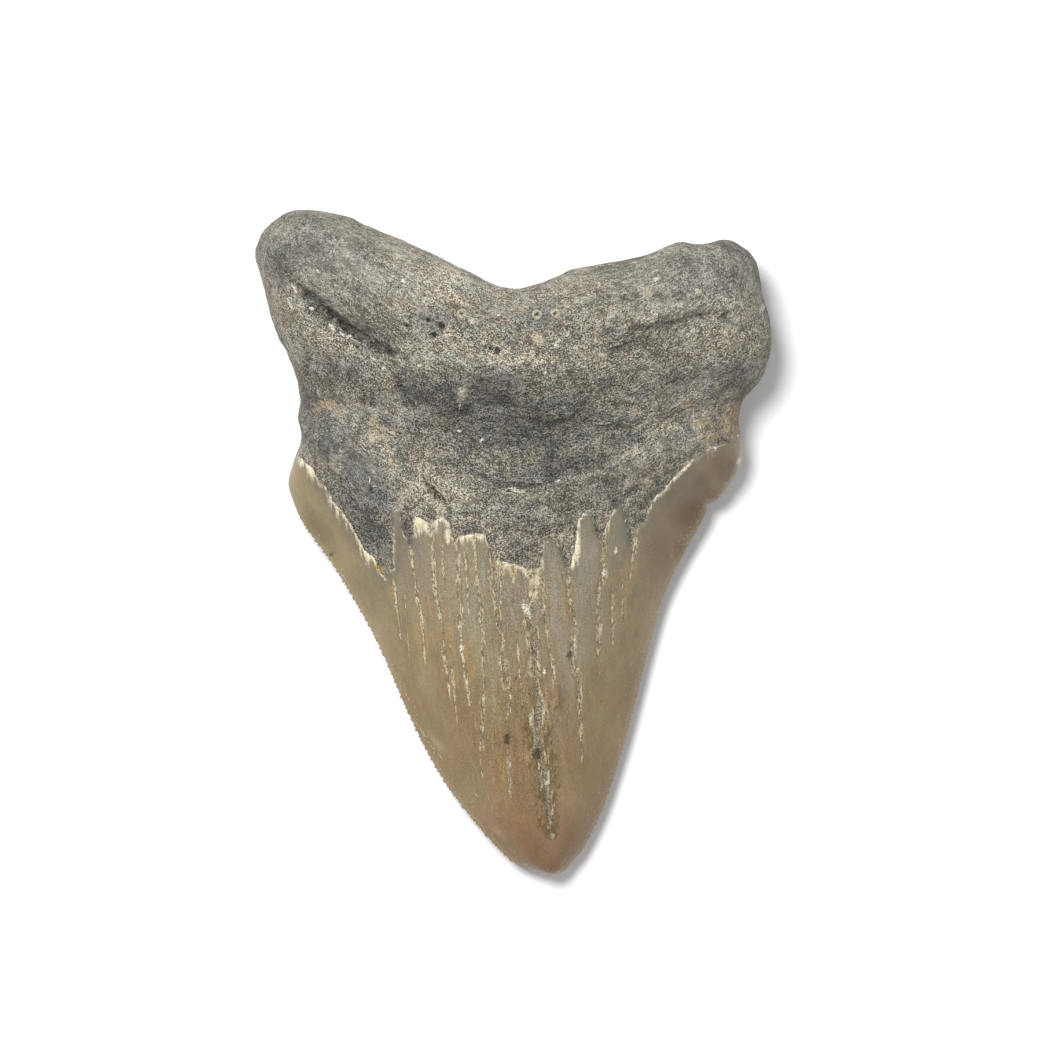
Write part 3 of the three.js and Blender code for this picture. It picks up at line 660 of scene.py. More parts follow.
def carved_places(face, across, along):
    xy = place_in_outline(across, along)
    height, share = base_height(face, across, along, xy)
    layer = (1 - smoothstep(*LAYER_FADES, along)) * ENAMEL_THICK * share**LAYER_EASE
    bare = smoothstep(BORDER_BLUR, -BORDER_BLUR, into_enamel(face, xy))
    push, sunk = saw(across, along, xy)
    if face == "inner":
        height += (folded(xy) - layer) * bare + lumps_and_holes(xy)
        height -= (crack_cut(INNER_CRACKS, xy) + BITE_DEPTH * spot(*xy.T, *BITE)) * (1 - bare) + sunk
    else:
        height += crack_cut(OUTER_CRACKS, xy) * (1 - bare) * OUTER_CRACKS_LEFT + layer * bare
    height = np.where(at_end(across) | at_end(along), height_curve(EDGE_HEIGHT, along), height)
    return np.column_stack([xy + push, height])


def add_face(bm, face):
    first, first_edge = len(bm.verts), len(bm.edges)
    bmesh.ops.create_grid(bm, x_segments=COLUMNS, y_segments=ROWS, size=0.5)
    bm.edges.ensure_lookup_table()
    saw_rows = (TIP_ROWS / ROWS - 0.5, (TIP_ROWS + BLADE_ROWS) / ROWS - 0.5)
    strip = []
    for edge in bm.edges[first_edge:]:
        a, b = (vert.co for vert in edge.verts)
        upright = abs(a.x - b.x) < TINY
        in_rows = saw_rows[0] - TINY < min(a.y, b.y) and max(a.y, b.y) < saw_rows[1] + TINY
        if upright and in_rows and abs(a.x) > 0.5 - (SAW_COLUMNS + 0.5) / COLUMNS:
            strip.append(edge)
    bmesh.ops.subdivide_edges(bm, edges=strip, cuts=SAW_CUTS, use_grid_fill=True)
    bm.verts.ensure_lookup_table()
    made = bm.verts[first:]
    flat = np.array([vert.co for vert in made])
    across = spread_across(np.clip(flat[:, 0] + 0.5, 0, 1))
    along = spread_along(np.clip(flat[:, 1] + 0.5, 0, 1))
    for vert, place in zip(made, carved_places(face, across, along) * MM):
        vert.co = place
    if face == "outer":
        bmesh.ops.reverse_faces(bm, faces=list({f for vert in made for f in vert.link_faces}))


tooth_bm = bmesh.new()
add_face(tooth_bm, "inner")
add_face(tooth_bm, "outer")
bmesh.ops.remove_doubles(tooth_bm, verts=tooth_bm.verts, dist=MERGE_WITHIN)
bmesh.ops.recalc_face_normals(tooth_bm, faces=tooth_bm.faces)
open_edges = sum(not edge.is_manifold for edge in tooth_bm.edges)
triangles = sum(len(f.verts) - 2 for f in tooth_bm.faces)
print("points:", len(tooth_bm.verts), "triangles:", triangles, "open edges:", open_edges)

# %% [markdown]
# Weather and wear left the root lumpy all over, also where its sides stand upright and the grid's
# heights can't reach. So the last relief moves each point of the root along its own normal, by an
# uneven depth. The lumps are drawn out along the fibres of the bone, which run down to the right on
# the left lobe and up to the right on the right one. The hard blade only gets the faintest waves.

# %% Weathering of the root
RELIEF = 0.85
ENAMEL_WAVE = 0.03
TABLE_FREE = 0.25
OUTLINE_KEPT, OUTLINE_LUMPS = 3.0, 0.4
FIBRE_SLOPES = (0.8, 0.5)
FIBRE_TURN = 14.0
FIBRE_STRETCH = (0.5, 1.0, 1.0)
BIG_LUMP, SMALL_LUMP = 2.4, 0.9
BIG_SHARE, SMALL_SHARE = 0.75, 0.25
BARE_COMES = (0.1, -0.6)


def read(items, name, width=1, kind=float):
    """One value or vector of every point, corner or face of the mesh, as an array."""
    values = np.empty(len(items) * width, kind)
    items.foreach_get(name, values)
    return values.reshape(-1, width) if width > 1 else values


def fibre_places(xyz):
    """Each place in mm along and across the bone's fibres, which bend like a shallow V."""
    x, y, z = xyz.T
    down, up = FIBRE_SLOPES
    slide = (up - down) / 2 * x + (up + down) / 2 * FIBRE_TURN * np.log(np.cosh(x / FIBRE_TURN))
    return np.column_stack([x, y - slide, z])


def rough(points, size, octaves):
    """Uneven values between about 0 and 1, with lumps of about this size in mm."""
    found = [noise.fractal(Vector(p) / size, 1.0, 2.1, octaves) for p in points]
    return np.clip(0.5 + 0.55 * np.array(found), 0, 1)


tooth_mesh = bpy.data.meshes.new("fossil_tooth")
tooth_bm.to_mesh(tooth_mesh)
tooth_bm.free()
places = read(tooth_mesh.vertices, "co", 3) / MM
normals = read(tooth_mesh.vertices, "normal", 3)
is_inner = normals[:, 2] > 0
border = np.where(is_inner, into_enamel("inner", places[:, :2]), into_enamel("outer", places[:, :2]))
bare = smoothstep(*BARE_COMES, border)
fibres = fibre_places(places)
drawn_out = fibres * FIBRE_STRETCH
lumpy = BIG_SHARE * rough(drawn_out, BIG_LUMP, 3) + SMALL_SHARE * rough(drawn_out + 40, SMALL_LUMP, 2) - 0.5
kept = np.clip(nearest_on(outline, places[:, :2])[0] / OUTLINE_KEPT, OUTLINE_LUMPS, 1)
clear = smoothstep(0, TABLE_FREE, places[:, 2])
rise = (bare * kept * RELIEF * lumpy + (1 - bare) * ENAMEL_WAVE * lumpy) * clear
places += normals * rise[:, None]
lowest, highest = np.array(solid_box) / MM
places = np.clip(places, lowest, highest)
tooth_mesh.vertices.foreach_set("co", (places * MM).ravel())
tooth_mesh.update()
tooth_mesh.shade_smooth()
print("weathering, mm:", round(float(rise.min()), 2), "to", round(float(rise.max()), 2))

fossil_tooth = place_in_scene("fossil_tooth", tooth_mesh)
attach(fossil_tooth, "root")
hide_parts("tooth")

# %% [markdown]
# The material has to know where the marks are, and more sharply than the mesh has points. So each
# corner of each face keeps how far it is from the nearest mark, in mm. Between corners Blender draws a
# straight line through these numbers, and the material finds a crisp edge where they cross a limit.

# %% What each corner knows about cracks and furrows
MARK_REACH = 2.5
FAR_OFF = 9.0


def store(name, domain, values):
    """Keeps a number, or three, for each point or corner of the mesh."""
    values = np.asarray(values, np.float32)
    kind, field = ("FLOAT", "value") if values.ndim == 1 else ("FLOAT_VECTOR", "vector")
    layer = tooth_mesh.attributes.new(name, kind, domain)
    layer.data.foreach_set(field, values.ravel())


face_size = read(tooth_mesh.polygons, "loop_total", kind=int)
face_inner = read(tooth_mesh.polygons, "normal", 3)[:, 2] > 0
face_of_corner = np.repeat(np.arange(len(face_size)), face_size)
corner_inner = face_inner[face_of_corner]
corner_xy = places[read(tooth_mesh.loops, "vertex_index", kind=int), :2]
face_centre = np.column_stack([np.bincount(face_of_corner, way) / face_size for way in corner_xy.T])


def line_marks(lines, faces, width_left):
    """For each corner: how far across the nearest line, half its width there and its darkness."""
    marks = np.tile([FAR_OFF, 0.0, 0.0], (len(corner_xy), 1))
    best = np.full(len(face_size), MARK_REACH)
    for path, half, darkness in lines:
        chain = smooth_curve(path, MARK_PARTS)
        far = nearest_on(chain, face_centre)[0]
        mine = faces & (far < best)
        best[mine] = far[mine]
        corners = np.flatnonzero(mine[face_of_corner])
        far, side, share = nearest_on(chain, corner_xy[corners])
        left = width_left(share)
        marks[corners] = np.column_stack([-far * side, half * left, darkness * np.ones(len(left))])
    return marks


def crack_marks(cracks, faces):
    halved = [(path, width / 2, darkness) for path, width, darkness in cracks]
    return line_marks(halved, faces, crack_width_left)


inner_marks, outer_marks = crack_marks(INNER_CRACKS, face_inner), crack_marks(OUTER_CRACKS, ~face_inner)
store("crack", "CORNER", np.where(corner_inner[:, None], inner_marks, outer_marks))
# The furrows carry their painted shade to the material.
furrows = [(path, half, darkness) for path, half, _, darkness in FURROWS]
store("furrow", "CORNER", line_marks(furrows, face_inner, fading_ends))
print("corners beside a crack:", int((inner_marks[:, 0] < FAR_OFF).sum()))

# %% [markdown]
# Round marks are kept the same way: for each corner, the way to it from the middle of the nearest one,
# turned into the mark's own frame and as a share of its size. A length of 1 is then the mark's rim, and
# the mark is a true ellipse however coarse the mesh is. The flecks are grains of pale mineral stuck to
# the tooth, and a few of them are small dark spots.

# %% What each corner knows about holes and flecks
# Middle x and y, half length and half width in mm, turn in degrees, 0 white, 1 tan and 2 dark brown.
FLECKS = [
    (-26.7, 31, 0.32, 0.17, -20, 0), (-24, 28.5, 0.55, 0.2, -52, 0), (-22.7, 27.7, 0.34, 0.18, -30, 0.1),
    (-21.7, 27.3, 0.33, 0.24, 10, 0), (-21, 26.8, 0.7, 0.08, -28, 0.2), (-5.3, 29.3, 0.6, 0.36, 10, 0.6),
    (-8.9, 27.3, 0.55, 0.3, 5, 0.5), (3.3, 26.8, 1, 0.62, -38, 0.7), (5.65, 26.1, 0.32, 0.17, 5, 0),
    (11.8, 24.6, 0.65, 0.36, -15, 0.8), (4.25, 22.5, 0.24, 0.16, 30, 0), (-1.9, 30.1, 0.2, 0.15, 0, 0.1),
    (17.9, 33.1, 0.6, 0.36, 10, 0.9), (24.4, 33.2, 0.5, 0.36, 40, 0.5), (18.9, 34.9, 0.4, 0.24, 20, 0.4),
    (-6.7, 19.7, 0.95, 0.66, 75, 0.6), (-7.1, 18.2, 0.6, 0.14, 80, 0.8), (0.6, 6.9, 1.2, 0.28, -14, 0.5),
    (5.9, 8.2, 0.22, 0.14, 50, 0.1), (-7.2, 14.8, 0.3, 0.18, 0, 0.3), (-4.2, 13.6, 0.32, 0.2, 30, 0.4),
    (-18.7, 13.7, 0.8, 0.55, 60, 0.7), (-19.1, 8.4, 0.4, 0.09, 85, 0), (-18.5, 7.5, 0.28, 0.08, -10, 0.1),
    (-6.9, -13.9, 0.5, 0.28, 75, 0.3), (1.8, -9, 1.1, 0.45, -66, 0.25), (33.1, 31.2, 0.6, 0.3, 70, 0.4),
    (30.1, 10.9, 0.6, 0.3, 65, 0.5), (-29.6, 31.6, 0.9, 0.16, -62, 0.3), (-29, 33.6, 0.7, 0.14, -62, 0.2),
    (-3.2, 23.6, 0.3, 0.2, 20, 0.3), (1.4, 24.4, 0.28, 0.18, -30, 0.2), (-12.4, 23.4, 0.3, 0.2, 0, 0.4),
    (-17.2, 23.1, 0.3, 0.2, 40, 0.2), (7.1, 27.4, 0.3, 0.2, 15, 0.5), (12, -3.9, 0.5, 0.22, 80, 0.1),
    (3.1, -27.9, 0.75, 0.6, 82, 2), (-0.85, -26, 0.8, 0.44, 80, 2), (7.4, -14.8, 0.5, 0.36, 85, 1.9),
    (5.6, -21.9, 0.42, 0.16, 60, 1.8), (0.3, -17.9, 0.36, 0.12, 70, 1.8),
    (1.9, -11.2, 0.45, 0.34, 80, 1.6), (-0.1, -7.6, 0.3, 0.14, 80, 1.7), (3.2, -31, 0.7, 0.35, 100, 1.6),
    (5, -26.5, 0.26, 0.14, 80, 1.9), (-24.3, -1.5, 0.3, 0.22, 60, 1.8), (-12.1, -25.4, 0.6, 0.12, -60, 1),
    (-11, -27.1, 0.7, 0.11, -52, 1), (-9.7, -28.6, 0.6, 0.09, -50, 1), (-14.2, -20.6, 0.5, 0.09, -62, 1),
    (-22.6, -4.6, 0.4, 0.1, -55, 0.8), (-5, -33.6, 0.4, 0.08, -50, 1), (6.4, -17.6, 0.4, 0.2, 85, 1.5),
    (-25.8, 35.9, 0.3, 0.15, -40, 0.3), (-14.5, 34.6, 0.35, 0.2, -30, 0.2),
    (2.6, -22.6, 0.7, 0.22, 80, 0.7), (4.4, -31.8, 0.45, 0.4, 80, 0.8), (4.1, -17.2, 0.5, 0.16, 85, 0.3),
    (3, -5, 1.3, 0.55, 80, 0.75), (13.6, -1, 0.5, 0.2, 80, 0.3),
]


def spot_marks(spots):
    """The way to each corner from the nearest spot's middle, in the spot's own size, and its last value."""
    spots = np.array(spots)
    gaps = np.linalg.norm(face_centre[:, None] - spots[None, :, :2], axis=2) / spots[None, :, 2]
    x, y, long, wide, turn, value = spots[gaps.argmin(1)][face_of_corner].T
    along, across = turned(*corner_xy.T, x, y, turn)
    way = np.column_stack([along / long, across / wide, value])
    way[~corner_inner, :2] = FAR_OFF
    return way


store("hole", "CORNER", spot_marks([(x, y, r, r, 0, ring) for x, y, r, ring in HOLES]))
store("fleck", "CORNER", spot_marks(FLECKS))
print("flecks:", len(FLECKS))

# %% [markdown]
# Softer patches of colour are blurred spots, and each point of the mesh keeps how much it is stained,
# darkened or paled by them. The stains come first: a sandy tan on the root, and ochre on the blade,
# most of it beside the cracks.

# %% Where the tooth is stained
# Middle x and y, reach along and across in mm, strength, and turn in degrees where there is one.
STAINS = [
    (-26.1, 17.7, 1.1, 0.9, 0.6, 30), (-24.7, 18.4, 1.3, 0.8, 0.8), (-23.3, 17.7, 1, 0.9, 0.65, -30),
    (-18.5, 15.6, 0.9, 2.2, 0.7, 12), (-31.4, 32, 0.8, 2.4, 0.55, 10), (-30.4, 29.8, 1, 1.2, 0.4),
    (-10.5, 21.3, 1.6, 0.8, 0.3), (1.5, 19.6, 2.6, 0.8, 0.35), (29.7, 17.3, 0.8, 2.2, 0.9),
    (24.6, 14.2, 1.8, 0.8, 0.4, 25), (16.1, 17.3, 0.6, 1.6, 0.45, -25), (0.9, 1.1, 2, 1, 0.3),
    (-26.9, 13.7, 0.9, 3, 0.35), (-23.8, 9.4, 1, 2.2, 0.35, 20), (-12.6, 23.6, 2.5, 1.2, 0.2),
    (-17.9, -3.6, 0.7, 1.2, 1, 40), (-16.3, -6.2, 0.7, 1.4, 1), (-11, -12, 4.5, 8, 0.54),
    (24.5, 18, 6, 4, 0.38, 10), (29.6, 17, 1.8, 4.5, 0.6), (28.4, 15.5, 3.2, 3, 0.55, 20),
    (23.2, 18.2, 1.2, 1, 0.75), (25.1, 15.9, 1.6, 1.2, 0.65), (27.1, 19.8, 1.2, 2, 0.5),
    (-28, 19, 1.6, 6, 0.25), (-26.4, 12, 2.2, 2.6, 0.3), (-31.4, 31, 1.4, 5, 0.3, 12),
    (-16.2, 11.4, 0.8, 1.8, 0.45), (-23.9, 9.6, 0.9, 1.7, 0.4), (-10.6, 7.6, 2.6, 0.9, 0.3, -35),
    (7.4, -8.5, 1.2, 3.2, 0.6), (3.6, -26, 2.6, 7, 0.5), (-0.9, -29, 1.8, 5, 0.45), (2.9, -6.3, 1, 2, 0.7),
    (-8.8, -13, 1.4, 6.5, 0.72, 5), (8.2, -20, 1, 5, 0.35), (-13.2, -3.8, 1, 2.5, 0.4),
    (-5.8, -16, 1.5, 5, 0.68, 4), (14.4, -6, 3.2, 6.5, 0.5), (18.5, 9.5, 6.5, 4.5, 0.36, 25),
    (-26, 21, 4, 6.5, 0.34), (-7.9, -18, 1.3, 2.6, 0.62), (5.1, -20.5, 0.9, 4.5, 0.8),
    (28.9, 15.6, 1.3, 2.2, 1), (26.6, 13.9, 1.8, 0.9, 0.8, 25),
]


def painted(spots):
    """How strongly the spots reach each point of the inner face."""
    x, y = places[:, :2].T
    strengths = [
        strength * spot(x, y, cx, cy, along, across, *turn)
        for cx, cy, along, across, strength, *turn in spots
    ]
    return np.max(strengths, axis=0) * is_inner


stained = painted(STAINS)
print("points stained by half or more:", int((stained > 0.5).sum()))

# %% [markdown]
# The bone is darker in the hollow between the lobes, at the foot of each ledge and at both ends of the
# border: partly its own darker tone and partly painted shade. The dark along the left lobe's margin and
# at the top right of the blade is painted shadow. The bone is paler on the lobes, on the ridge and on
# the crests of its folds: partly paler bone and partly painted light on the slopes that face the lamp.

# %% Where it is shaded or pale
# The same numbers as for the stains.
# Dark spots: partly darker bone, partly painted shade, and painted shadow at the lobe's left margin and
# blade's top right.
SHADES = [
    (0.6, 15.4, 13.5, 4.4, 0.95), (-11.4, 19.6, 4.6, 2.4, 0.95, -24), (7, 10.4, 7.5, 2.2, 1.1, 8),
    (13.6, 13.2, 3, 1.6, 0.85, 15), (0.5, 8.6, 4, 1.6, 0.7), (-2.4, 20.7, 5.5, 2.7, 1.1, -6),
    (-8.4, 20.6, 3, 2.4, 0.9), (-18.1, 26.2, 4.5, 1.4, 0.5, -30), (-19.6, 3, 2.8, 7, 0.95, 35),
    (-13.9, 1.5, 0.8, 3, 0.9), (8, 8, 9, 2.2, 0.4, 8), (-22.6, 28.9, 3.6, 1.2, 0.5, -36),
    (-25.6, 31.6, 2.6, 1, 0.4, -38), (14.6, 26.8, 3, 1.4, 0.4, 10), (17.5, 21.6, 7, 2.4, 0.35, 6),
    (29.8, 21, 2.5, 3.4, 0.65), (-23.6, 21.8, 5, 2.4, 0.72), (-27.6, 20.6, 1.8, 3.6, 0.8),
    (-22.4, 19.4, 5, 1.6, 0.5), (10.2, 5.7, 4.5, 1.6, 0.35, 10), (-3.2, 2, 3.6, 2, 0.3),
    (18.9, 9, 0.9, 1.2, 0.6), (-31.4, 36.4, 1.2, 3.2, 0.7, 8), (-24.9, 11.8, 1.8, 2.2, 0.8, 20),
    (-21.8, 10.4, 1.8, 3, 0.5), (-18, 7, 2.4, 3, 0.85, 15), (-25.6, 15.9, 1.6, 1.2, 0.6),
    (24, 4.6, 5.5, 4.6, 1, 35), (19.5, -0.6, 3, 6, 0.65), (25.6, 6.9, 1.6, 1, 0.9, 40),
    (28, 9.8, 2.4, 3.5, 0.9, 25), (16.6, -8, 2, 6, 0.25), (5, -42, 5, 4, 0.35), (0.5, -27, 3, 6, 0.25),
    (0.4, -7, 1.4, 2.4, 0.3), (-20, -5.5, 1.8, 3.6, 0.32, 32), (-15.1, 1, 0.7, 3.6, 0.45),
    (2.8, 3.2, 7, 4.2, 0.42), (1.6, -1.2, 2.6, 1.8, 0.75), (-1, 29.6, 6, 1.8, 0.42),
    (-11.2, 29.5, 2, 1.6, 0.8, -15), (4.6, 29.7, 3, 1.6, 0.62), (14, 6.8, 5, 2.6, 0.15, 25),
    (-6.6, 10.6, 4.2, 1.8, 0.5, -15), (-2.4, 18.7, 4.6, 1.5, 1.2), (5.4, 13, 3.2, 1.5, 1.2),
    (14, 13.6, 3.2, 1.2, 1.15, 10), (4.9, 9.6, 1.8, 2.4, 1.3), (-27.3, 19.1, 1.3, 1.9, 1.2),
    (-27.3, 13.7, 1.1, 1.4, 0.7), (-19.1, 19.1, 1.8, 1.3, 0.85), (-19.1, 7.2, 1.6, 2.4, 1),
    (3.6, 29.8, 2.6, 1.4, 0.95), (7.5, 27.1, 1.3, 1.2, 0.35), (-13.8, 27.1, 1.3, 1.3, 0.35),
    (23.5, 13.7, 1.6, 1.2, 0.45), (29, 9.4, 1.2, 2.6, 1.2), (25, 8.2, 2.4, 1.6, 1, 35),
    (-26.2, 1.8, 1.8, 3.2, 0.5, 35), (22.4, -1, 1.6, 2.4, 0.9, 35), (5.1, -20.5, 0.9, 4, 0.4),
    (6.2, -27, 1.8, 2.5, 0.22), (4.9, 11.4, 1.7, 1.3, 1.4), (-13.8, 24.4, 1.3, 1.3, 0.4),
    (-16.5, 16.4, 1.6, 1.3, 0.6), (-8.4, -18.6, 1.4, 2.4, 0.42), (5.8, -20.8, 1.1, 1.9, 1.1),
    (14.4, -4.6, 2.6, 4.5, 0.25), (-7, 17.6, 3.4, 1.5, 1.25), (-1.6, 19.2, 3, 1, 1.4),
]
# Pale spots: partly paler bone and partly painted light, also along the blade's upper left edge.
PALE_AND_LIT_SPOTS = [
    (-1.1, 24.3, 12, 1.5, 0.75), (-9.8, 24.1, 4.5, 1.8, 0.7), (-4.5, 29.1, 7, 2.8, 0.2),
    (-8.5, 25.8, 1.5, 2.2, 1.1), (-18.5, 35.2, 7.5, 2.4, 0.4, -25), (-22.2, 35.3, 3.2, 1.8, 0.85, -10),
    (-8.7, 35, 9, 2.6, 1.1, -23), (6.2, 25.7, 4, 2, 0.4), (3, 32.6, 4, 1.4, 0.4),
    (23.5, 35.1, 7, 3, 0.55, 8), (21, 31, 7.5, 1.8, 0.55, 6), (27, 28.2, 4.5, 2, 0.5, 20),
    (29, 32, 1.9, 1.7, 1), (-24.6, 27.3, 3.6, 1.4, 0.75, -22), (-16.6, 21.3, 2.2, 1.2, 0.45, -15),
    (21.5, 16.2, 6, 2.6, 0.5, 8), (16.9, 11.7, 4, 1.4, 0.25, 22), (-11.4, 5.6, 2.6, 3, 0.8),
    (-23, 15.2, 3.2, 1.8, 0.5), (-18.7, 13.4, 1.6, 1.8, 0.9), (-17.4, 11.4, 1.6, 2.4, 0.7),
    (-9.6, 6.8, 3.4, 0.8, 0.8, -38), (12.6, 24.4, 3, 1.6, 0.3), (-26.4, 6, 2, 3.5, 0.35, 38),
    (-10.2, -26.7, 1.8, 0.5, 0.6, -50), (-2.2, -38.5, 1, 0.5, 0.5, -30), (29.2, 9.2, 0.5, 1, 0.6, -25),
    (-5, -32.6, 2.4, 3.2, 0.28, -30), (8.4, -34.5, 1.8, 3, 0.25, 10), (13.2, -24.5, 1.5, 4, 0.22, -12),
    (-1.8, -20.9, 1.4, 3, 0.22), (-9.4, 32.9, 2.6, 1.7, 1.35, -20), (-8.5, 24.5, 1.3, 1.4, 1.3),
    (-20.4, 32.3, 2.6, 1.6, 0.7, -25), (-16.5, 29.9, 1.8, 1.4, 0.5, -30), (27.8, 24.3, 1.8, 1.4, 0.35),
    (25.6, 19.1, 2.2, 1.5, 0.45), (10.9, -24, 1.8, 5.5, 0.24), (-9.8, -13, 1.2, 3.6, 0.22),
    (1.2, -16, 1.4, 3, 0.16), (-20.6, 27.4, 1.8, 0.9, 0.6, -30), (-3.1, -34.3, 1.8, 2.2, 0.3),
]

shaded = painted(SHADES)
# Each fold's crest gets a painted highlight.
on_folds = [paleness * bell(path, half, places[:, :2]) for path, half, _, paleness in FOLDS]
pale = np.maximum(painted(PALE_AND_LIT_SPOTS), np.max(on_folds, axis=0) * is_inner)
store("tone", "POINT", np.column_stack([stained, shaded, pale]))
print("points shaded, and paled, by half or more:", int((shaded > 0.5).sum()), int((pale > 0.5).sum()))

# %% [markdown]
# One more number says how strong the grain is: the lobes are smoother than the hollow, and the blade is
# fibrous where the cracks crowd. Others say how wide the crumbs lie along the border, how far into the
# enamel a point is, and how far from a cutting edge.

# %% How strong the grain is, and how near the border and the edges
# The same numbers as for the stains.
SMOOTH_BONE = [
    (-24, 37.5, 11, 5.5, 1, -24), (23, 34.5, 13, 6, 0.9, 8), (25, 18.5, 6, 6, 0.9),
    (-24, 14.5, 4.5, 3.4, 0.95), (-21, 10, 3.4, 3.4, 0.85), (16, 9, 8, 4, 0.6, 22),
    (21, 12, 5, 4, 0.7, 30),
]
FIBROUS_ENAMEL = [(0, -6, 13, 10, 1), (1, -22, 8, 14, 0.9)]
BORDER_CRUMBS = [
    (-27.5, 9.6, 2, 3, 0.22), (-23, 4.2, 3, 4, 0.2), (-19.4, -1.6, 2.4, 3.2, 0.22),
    (-11.2, 2.4, 1.8, 1.6, 0.5), (-7.2, 0.6, 3.2, 1.1, 0.5), (0.4, -3.6, 3.2, 1.4, 0.52),
    (8.2, -1, 0.7, 2.8, 0.4), (20, 7.2, 5, 2.5, 0.12, 40), (12.2, 1.8, 0.8, 1.5, 0.2),
    (26.5, 11, 2.6, 1.5, 0.13, 20),
]
BORDER_CRUMBS_LEAST = 0.05
SMOOTH_GRIT = 0.4

gritty = np.where(border > 0, painted(FIBROUS_ENAMEL), 1 - SMOOTH_GRIT * painted(SMOOTH_BONE))
edge_gaps = [nearest_on(side[::4], places[:, :2])[0] for side in (left_side, right_side)]
store("fibres", "POINT", fibres)
store("into_enamel", "POINT", border)
store("grit", "POINT", gritty)
store("crumb_width", "POINT", BORDER_CRUMBS_LEAST + painted(BORDER_CRUMBS))
store("from_edge", "POINT", np.minimum(*edge_gaps))
print("stored:", [layer.name for layer in tooth_mesh.attributes if not layer.name.startswith(".")])

# %% [markdown]
# A material is a chain of small sums, and it reads best when each sum is one short line. This helper
# adds nodes to a tree and joins them. A value may be a plain number or another node's output.

# %% A helper that wires nodes
class Wiring:
    """Adds nodes to one tree and joins them, one short call for each sum."""

    def __init__(self, tree):
        self.tree = tree

    def add(self, kind, inputs=None, out=0, **settings):
        made = self.tree.nodes.new(kind)
        for name, value in settings.items():
            setattr(made, name, value)
        self.feed(made, inputs or {})
        return made.outputs[out] if len(made.outputs) else None

    def feed(self, node, inputs):
        for socket, value in inputs.items():
            if isinstance(value, bpy.types.NodeSocket):
                self.tree.links.new(value, node.inputs[socket])
            else:
                node.inputs[socket].default_value = value

    def group(self, tree, inputs):
        placed = self.tree.nodes.new("ShaderNodeGroup")
        placed.node_tree = tree
        self.feed(placed, inputs)
        return placed.outputs

    def math(self, operation, *values, clamp=False):
        return self.add("ShaderNodeMath", dict(enumerate(values)), operation=operation, use_clamp=clamp)

    def chained(self, operation, values):
        total = values[0]
        for value in values[1:]:
            total = self.math(operation, total, value)
        return total

    def times(self, *values):
        return self.chained("MULTIPLY", values)

    def plus(self, *values):
        return self.chained("ADD", values)

    def vector(self, operation, *values, out=0):
        return self.add("ShaderNodeVectorMath", dict(enumerate(values)), out, operation=operation)

    def scaled(self, vector, factor):
        return self.add("ShaderNodeVectorMath", {0: vector, "Scale": factor}, operation="SCALE")

    def between(self, value, low, high, to_low=0.0, to_high=1.0):
        inputs = {"Value": value, "From Min": low, "From Max": high, "To Min": to_low, "To Max": to_high}
        return self.add("ShaderNodeMapRange", inputs, interpolation_type="SMOOTHSTEP")

    def blend(self, share, a, b):
        colours = [(*c, 1.0) if isinstance(c, tuple) and len(c) == 3 else c for c in (a, b)]
        return self.add("ShaderNodeMix", {0: share, 6: colours[0], 7: colours[1]}, 2, data_type="RGBA")

    def blend_numbers(self, share, a, b):
        return self.add("ShaderNodeMix", {0: share, 2: a, 3: b}, data_type="FLOAT")

    def noise(self, place, scale, detail=3, roughness=0.6, distortion=0):
        """Noise at a place, with one scale, or one for each of X, Y and Z."""
        if isinstance(scale, tuple):
            place, scale = self.vector("MULTIPLY", place, scale), 1.0
        inputs = {
            "Vector": place, "Scale": scale, "Detail": detail, "Roughness": roughness,
            "Distortion": distortion,
        }
        return self.add("ShaderNodeTexNoise", inputs)

    def swing(self, *pairs):
        """Noises brought to swing about zero, each by its weight, and added up."""
        total = -0.5 * sum(weight for _, weight in pairs)
        for value, weight in pairs:
            total = self.math("MULTIPLY_ADD", value, weight, total)
        return total

    def stored(self, name, out="Fac"):
        return self.add("ShaderNodeAttribute", out=out, attribute_name=name)

    def parts(self, vector):
        split = self.tree.nodes.new("ShaderNodeSeparateXYZ")
        self.tree.links.new(vector, split.inputs[0])
        return tuple(split.outputs)


SOCKET_KINDS = {"Place": "NodeSocketVector", "Fibres": "NodeSocketVector", "Colour": "NodeSocketColor"}


def new_group(name, inputs, outputs):
    """An empty node group with named sockets: its wiring, its inputs in order and its way out."""
    tree = bpy.data.node_groups.new(name, "ShaderNodeTree")
    for labels, in_out in ((inputs, "INPUT"), (outputs, "OUTPUT")):
        for label in labels.split(", "):
            kind = SOCKET_KINDS.get(label, "NodeSocketFloat")
            tree.interface.new_socket(label, in_out=in_out, socket_type=kind)
    entry, leave = tree.nodes.new("NodeGroupInput"), tree.nodes.new("NodeGroupOutput")
    return Wiring(tree), tuple(entry.outputs)[:-1], leave


# %% [markdown]
# The root is fossil bone: warm grey, made of pale and dark grains like coarse felt, with cream and
# greenish patches. Its grains are drawn out a little along the fibres, and upright beside the enamel.
# The sums give one lightness first, so that all layers add up, and it picks the colour at the end.

# %% Root bone
BONE_DARK = (0.068, 0.062, 0.052)
BONE_MID = (0.200, 0.186, 0.154)
BONE_PALE = (0.464, 0.438, 0.376)
BONE_WARM = (1.06, 1.0, 0.90)
BONE_COOL = (0.97, 1.0, 0.975)
BONE_SMOOTH = (0.97, 1.0, 1.03)
BONE_SHADED = (0.97, 1.0, 1.10)
BONE_TAN = (0.360, 0.276, 0.172)


